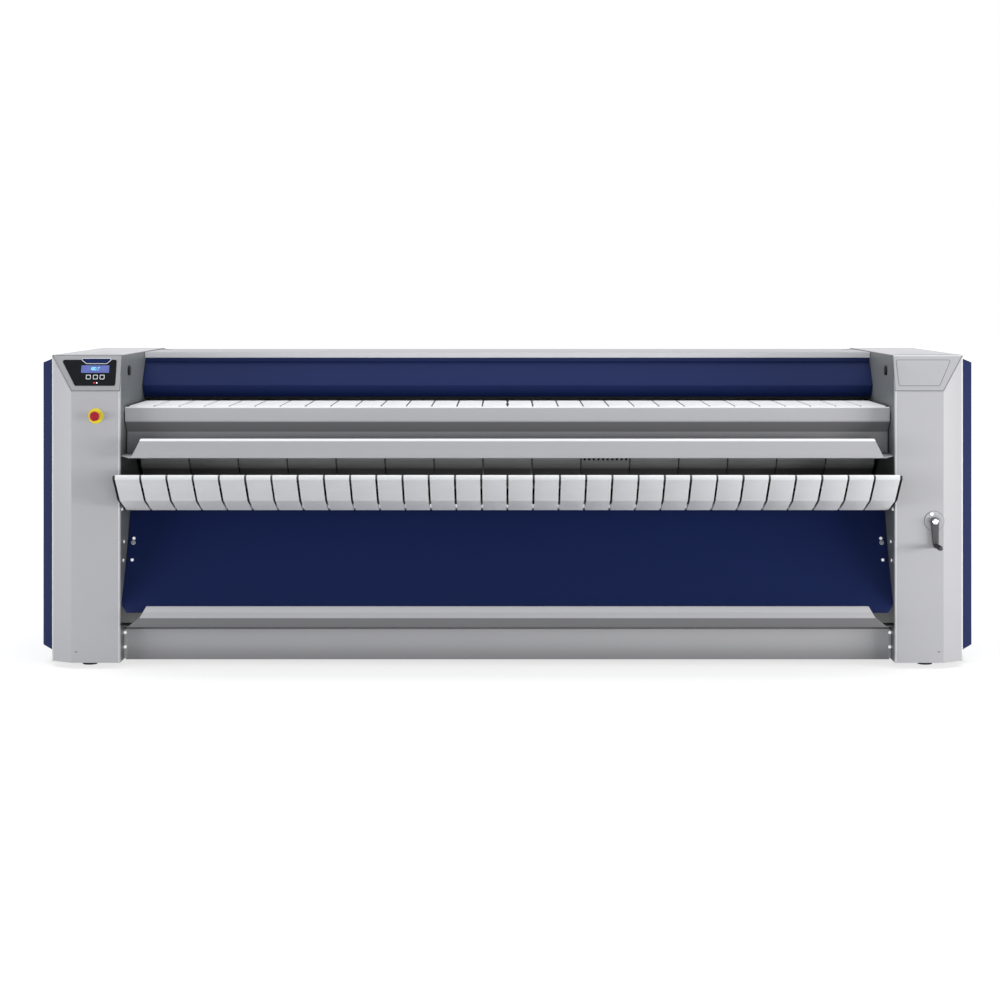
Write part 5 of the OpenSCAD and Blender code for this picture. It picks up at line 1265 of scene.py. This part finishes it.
ROSE = [(0, -0.030), (0.0115, -0.030), (0.0115, 0.0), (0.040, 0.0), (0.040, 0.0026), (0.0385, 0.0040),
        (0.0220, 0.0040), (0.0200, 0.0028), (0.0110, 0.0028), (0.0095, 0.0040), (0.0083, 0.0040)]
ROSE_SEAM = [(0.0400, 0.0), (0.0418, 0.0), (0.0418, 0.0006), (0.0400, 0.0010)]


def crank_outline(hub, end):
    """Tapered arm: two circles' arcs, which their common tangents join."""
    d = end - hub
    lean = math.acos((CRANK_HUB_R - CRANK_END_R) / np.linalg.norm(d))
    base = math.atan2(d[1], d[0])
    a = np.linspace(base + lean, base + 2 * math.pi - lean, 28)
    b = np.linspace(base - lean, base + lean, 20)
    return np.concatenate([hub + CRANK_HUB_R * np.stack([np.cos(a), np.sin(a)], 1),
                           end + CRANK_END_R * np.stack([np.cos(b), np.sin(b)], 1)])


def hand_crank():
    """Crank arm, its hub with a bright cap, its pin, the turned grip and the rose on the cover."""
    hub, end = np.array([CRANK_X, CRANK_Z]), np.array([CRANK_X + CRANK_SHIFT, CRANK_Z - CRANK_ARM])
    at, pin = (hub[0], 0.0, hub[1]), (end[0], 0.0, end[1])
    shell = Shell("crank_arm")
    plate(shell, crank_outline(hub, end), CRANK_T, "dark", (0, -0.009, 0), FACING, 0.0035,
          centre=hub + 0.4 * (end - hub))
    lathe(shell, soft_profile(CRANK_HUB, 0.0012, 3), "dark", at, FACING, 48)
    lathe(shell, CRANK_CAP, "chrome", at, FACING, 48)
    lathe(shell, soft_profile(CRANK_PIN, 0.0006, 2), "dark", pin, FACING, 32)
    shell.finish("hand_crank", "dark_paint", "hand_crank")

    handle = Shell("crank_handle")
    profile = soft_profile(CRANK_GRIP, 0.003)
    lathe(handle, np.vstack([profile, profile[:1]]), "black", pin, FACING, 48)
    handle.finish("crank_grip", "black_plastic", "crank_grip")

    rose = Shell("crank_rose")
    lathe(rose, soft_profile(ROSE, 0.0006, 3), "silver", at, FACING, 72)
    lathe(rose, ROSE_SEAM, "seam", at, FACING, 72)
    rose.finish("frame", "dark_paint", "crank_rosette")


FOOT_INSET, FOOT_RIBS, FOOT_RIB_SHARE, HEX_SHARE = 0.130, 28, 0.006, 0.93 ** 2
PAD = [(0, 0), (0.0295, 0.0), (0.031, 0.0015), (0.031, 0.006), (0.0292, 0.0068), (0.031, 0.0076),
       (0.0300, 0.0130), (0.0270, 0.0146), (0.010, 0.0150)]
NUT = [(0.0099, 0.0160), (0.0160, 0.0160), (0.0160, 0.0240), (0.0099, 0.0240)]
THREADS, THREAD_PITCH, THREAD_LOW, THREAD_R, THREAD_ROOT = 14, 0.0028, 0.0155, 0.0098, 0.0088


def levelling_feet():
    """Ribbed foot pads with their lock nuts and threaded spindles."""
    shell = Shell("foot_pads")
    spindle = [(0.010, 0.0150)]
    for z in THREAD_LOW + THREAD_PITCH * np.arange(THREADS):
        spindle += [(THREAD_R, z), (THREAD_ROOT, z + THREAD_PITCH / 2)]
    spindle += [(0.0090, 0.0560), (0.0, 0.0560)]

    def ribbed(row, angle):
        return 1.0 - FOOT_RIB_SHARE * (np.cos(FOOT_RIBS * angle) > 0)

    def hexagon(row, angle):
        return HEX_SHARE / np.cos((angle + math.pi / 6) % (math.pi / 3) - math.pi / 6)

    for y in (FOOT_INSET, COLUMN_D - FOOT_INSET):
        origin = (0.5 * (COLUMN_IN + COLUMN_OUT), y, -LOWER_Z)
        lathe(shell, soft_profile(PAD, 0.0008, 3), "rubber", origin, UPWARD, 56, ribbed)
        lathe(shell, spindle, "steel", origin, UPWARD, 28)
        lathe(shell, soft_profile(NUT, 0.0007, 2), "steel", origin, UPWARD, 36, hexagon)
    shell.mirrored()
    shell.finish("frame", "black_rubber", "levelling_feet")


SCREW = [(0.0, -0.001), (0.55, -0.001), (1.0, 0.0), (1.0, 0.0006), (0.92, 0.0014), (0.70, 0.0023),
         (0.48, 0.0026), (0.42, 0.0024), (0.38, 0.0010), (0.0, 0.0010)]
CHEEK_SCREW, CHEEK_SCREW_R = (0.040, 0.631), 0.0068
PANEL_ROWS, PANEL_COLUMNS = (0.052, 0.340, 0.625, 0.690, 1.190), 9
COVER_ROWS, COVER_EDGE = (0.060, 0.420, 0.860, 1.210), 0.018
REAR_SCREW_R, SCREW_SEAT = 0.005, 0.0002


def dome_screw(shell, origin, axes, radius):
    """Button-head screw: a domed profile, in shares of its radius, sunk to a socket."""
    profile = [(share * radius, height) for share, height in SCREW]
    # The bright tone glows faintly, a painted glint.
    lathe(shell, soft_profile(profile, 0.0002, 2), "bright", origin, axes, 24)


def cheek_screws():
    """Screws of the exit conveyor's tabs, on the columns' inner faces near the front."""
    shell = Shell("cheek_screws")
    for sign, axes in ((1.0, INWARD), (-1.0, OUTWARD)):
        dome_screw(shell, (sign * (COLUMN_IN - SCREW_SEAT), *CHEEK_SCREW), axes, CHEEK_SCREW_R)
    shell.finish("frame", "bright_steel")


def rear_screws():
    """Domed screws along the rear panels' and covers' edges, as such sheets are held."""
    shell = Shell("rear_panel_screws")
    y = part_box("rear_panels")[1].y - FRONT_Y + SCREW_SEAT
    for z in PANEL_ROWS:
        for k in range(PANEL_COLUMNS):
            if 0.1 < z < 0.6 and k not in (0, PANEL_COLUMNS - 1):
                continue
            x = (k - 4) * (PANEL_HALF - 0.03) / 4
            dome_screw(shell, (x, y, z), BACKWARD, REAR_SCREW_R)
    for z in COVER_ROWS:
        for x in (COLUMN_IN + COVER_EDGE, COLUMN_OUT - COVER_EDGE):
            for sign in (1.0, -1.0):
                dome_screw(shell, (sign * x, COLUMN_D + SCREW_SEAT, z), BACKWARD, REAR_SCREW_R)
    shell.finish("frame", "bright_steel")


CARRIED = {
    # The side frames' plate tone holds a painted shadow of the shelf.
    "plate": "left_side_frame right_side_frame",
    "silver": "column_rear_covers rear_panels control_box",
    "black": "exit_bed feed_bed entry_sensors supply_gland finger_guard",
    # The two rollers take the dark paint as painted shade in the gaps between the belts.
    "dark": "front_return_roller exit_nose_roller",
    "steel": "ironing_cylinder nip_roller lower_return_roller tension_roller upper_return_roller "
             "feed_front_roller feed_rear_roller exit_bottom_roller exit_rear_roller stripping_fingers",
    # The screws' bright tone glows faintly, a painted glint.
    "bright": "screws",
    "zinc": "cross_ties heating_rack exhaust_blower fan_impeller temperature_probes",
    "cast": "cylinder_bearings roller_bearings drive_gearmotor cylinder_pulley motor_pulley",
    "rubber": "drive_belts",
}


def carried_finishes():
    """Gives every construction solid that shows its procedural finish."""
    for material, names in CARRIED.items():
        for name in names.split():
            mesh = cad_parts[name].data
            mesh.materials.clear()
            mesh.materials.append(MATERIALS[material])


LAMPS = [
    ("lamp_right", (6.4, -4.0, 0.95), (4.5, 1.4), 265.0, (1.0, 0.99, 0.98)),
    ("lamp_left", (-6.4, -3.8, 0.95), (4.5, 1.4), 165.0, (0.98, 0.99, 1.0)),
    ("lamp_low", (1.6, -10.8, 0.7), (5.0, 1.0), 165.0, (1.0, 1.0, 1.0)),
    ("lamp_top", (0.0, 0.4, 5.2), (9.0, 3.5), 245.0, (1.0, 1.0, 1.0)),
]


def seen(shader):
    """1 for the rays that show the background: camera, glossy and transmission rays."""
    camera, glossy, through = (shader.node("ShaderNodeLightPath", {}, out=name)
                               for name in ("Is Camera Ray", "Is Glossy Ray", "Is Transmission Ray"))
    return camera.most(glossy).most(through)


def stage():
    """White floor that keeps a faint shadow, even world light, soft lamps and the camera."""
    scene = bpy.context.scene
    scene.view_settings.view_transform = "Standard"
    floor = bpy.data.meshes.new("floor")
    floor.from_pydata([(-40, -14, 0), (40, -14, 0), (40, 60, 0), (-40, 60, 0)], [], [(0, 1, 2, 3)])
    s = Shader("floor_white", Base_Color=(0.48, 0.48, 0.48, 1), Roughness=0.9, Specular_IOR_Level=0.0)
    x, y, _ = s.axes(s.place())
    away = s.smooth(y.most(x.absolute()), 2.2, 6.0)
    s.feed("Emission Color", s.blend(away, (0.72, 0.72, 0.72), (1.0, 1.0, 1.0)))
    s.feed("Emission Strength", seen(s))
    floor.materials.append(s.material)
    ground = bpy.data.objects.new("floor", floor)
    scene.collection.objects.link(ground)

    world = bpy.data.worlds.new("studio")
    scene.world = world
    s = Shader(world, "Background")
    s.feed("Color", s.blend(seen(s), (0.30, 0.31, 0.32), (1.0, 1.0, 1.0)))
    s.feed("Strength", 1.0)

    for name, at, size, watts, tint in LAMPS:
        light = bpy.data.lights.new(name, "AREA")
        light.shape, light.size, light.size_y = "RECTANGLE", *size
        light.energy, light.color = watts, tint
        lamp = bpy.data.objects.new(name, light)
        lamp.location = at
        aim = np.array([0.0, 0.0, 0.7]) - at
        turn = math.atan2(aim[1], aim[0]) - math.pi / 2
        lamp.rotation_euler = (math.acos(-aim[2] / np.linalg.norm(aim)), 0, turn)
        scene.collection.objects.link(lamp)

    lens = bpy.data.cameras.new("camera")
    lens.lens, lens.sensor_width = 85.0, 36.0
    lens.shift_x, lens.shift_y = -0.00745, -0.2094
    camera = bpy.data.objects.new("camera", lens)
    camera.location = (0.0, FRONT_Y - 9.756, 1.562)
    camera.rotation_euler = (math.pi / 2, 0, 0)
    scene.collection.objects.link(camera)
    scene.camera = camera


class IRONER_OT_stage(bpy.types.Operator):
    """Adds the floor, the lamps, the world and the camera"""

    bl_idname = "ironer.stage"
    bl_label = "Stage"

    def execute(self, context):
        stage()
        return {"FINISHED"}


class IRONER_OT_finishes(bpy.types.Operator):
    """Makes the materials and paints the construction's solids"""

    bl_idname = "ironer.finishes"
    bl_label = "Finishes"

    def execute(self, context):
        make_materials()
        carried_finishes()
        return {"FINISHED"}


class IRONER_OT_columns(bpy.types.Operator):
    """Adds the columns' front covers, side panels and caps"""

    bl_idname = "ironer.columns"
    bl_label = "Columns"

    def execute(self, context):
        for build, name in ((front_cover, "_front_cover"), (side_panel, "_side_panel")):
            build("left" + name, True)
            build("right" + name, False)
        top_caps()
        return {"FINISHED"}


class IRONER_OT_sheets(bpy.types.Operator):
    """Adds the guard, table front, shelf, tray, base beam and top cover"""

    bl_idname = "ironer.sheets"
    bl_label = "Sheets"

    def execute(self, context):
        for build in (guard, table_front, linen_shelf, linen_tray, base_beam, lift_cover):
            build()
        return {"FINISHED"}


class IRONER_OT_slope(bpy.types.Operator):
    """Adds the bowed slope panel and its discs"""

    bl_idname = "ironer.slope"
    bl_label = "Slope"

    def execute(self, context):
        slope_panel()
        return {"FINISHED"}


class IRONER_OT_feed(bpy.types.Operator):
    """Adds the woven belts of the feed table"""

    bl_idname = "ironer.feed"
    bl_label = "Feed belts"

    def execute(self, context):
        feed_belts()
        return {"FINISHED"}


class IRONER_OT_delivery(bpy.types.Operator):
    """Adds the woven belts of the exit conveyor"""

    bl_idname = "ironer.delivery"
    bl_label = "Exit belts"

    def execute(self, context):
        exit_belts()
        return {"FINISHED"}


class IRONER_OT_ironing(bpy.types.Operator):
    """Adds the felt belts round the cylinder and their lacing"""

    bl_idname = "ironer.ironing"
    bl_label = "Ironing belts"

    def execute(self, context):
        ironing_belts()
        return {"FINISHED"}


class IRONER_OT_controls(bpy.types.Operator):
    """Adds the glass, its window, marks and keys, and the right field"""

    bl_idname = "ironer.controls"
    bl_label = "Control panel"

    def execute(self, context):
        for build in (panel_glass, display_window, panel_marks, panel_keys, right_inset):
            build()
        return {"FINISHED"}


class IRONER_OT_stop(bpy.types.Operator):
    """Adds the emergency stop's collar and mushroom"""

    bl_idname = "ironer.stop"
    bl_label = "Emergency stop"

    def execute(self, context):
        emergency_stop()
        return {"FINISHED"}


class IRONER_OT_crank(bpy.types.Operator):
    """Adds the crank's arm, grip and rose"""

    bl_idname = "ironer.crank"
    bl_label = "Hand crank"

    def execute(self, context):
        hand_crank()
        return {"FINISHED"}


class IRONER_OT_feet(bpy.types.Operator):
    """Adds the four levelling feet"""

    bl_idname = "ironer.feet"
    bl_label = "Feet"

    def execute(self, context):
        levelling_feet()
        return {"FINISHED"}


class IRONER_OT_rear(bpy.types.Operator):
    """Adds the louvres, the rear screws and the conveyor's screws"""

    bl_idname = "ironer.rear"
    bl_label = "Rear"

    def execute(self, context):
        rear_cover_louvres()
        rear_screws()
        cheek_screws()
        return {"FINISHED"}


OPERATORS = [
    IRONER_OT_stage, IRONER_OT_finishes, IRONER_OT_columns, IRONER_OT_sheets, IRONER_OT_slope,
    IRONER_OT_feed, IRONER_OT_delivery, IRONER_OT_ironing, IRONER_OT_controls, IRONER_OT_stop,
    IRONER_OT_crank, IRONER_OT_feet, IRONER_OT_rear,
]


class IRONER_PT_panel(bpy.types.Panel):
    """Lists the ironer's settings and its building steps"""

    bl_label = "Flatwork Ironer"
    bl_idname = "IRONER_PT_panel"
    bl_space_type = "VIEW_3D"
    bl_region_type = "UI"
    bl_category = "Ironer"

    def draw(self, context):
        for group in (context.scene.ironer_sizes, context.scene.ironer_colours):
            for name in group.__annotations__:
                self.layout.prop(group, name)
        for kind in OPERATORS:
            self.layout.operator(kind.bl_idname)


CLASSES = [Sizes, Colours, *OPERATORS, IRONER_PT_panel]


def register():
    """Registers the classes and hangs the settings on the scene."""
    for kind in CLASSES:
        bpy.utils.register_class(kind)
    bpy.types.Scene.ironer_sizes = bpy.props.PointerProperty(type=Sizes)
    bpy.types.Scene.ironer_colours = bpy.props.PointerProperty(type=Colours)


def unregister():
    """Takes the settings and the classes away again."""
    del bpy.types.Scene.ironer_colours
    del bpy.types.Scene.ironer_sizes
    for kind in reversed(CLASSES):
        bpy.utils.unregister_class(kind)


def main():
    """Registers the add-on and runs every operator in order."""
    register()
    for kind in OPERATORS:
        getattr(bpy.ops.ironer, kind.bl_idname.split(".")[1])()


if __name__ == "__main__":
    main()
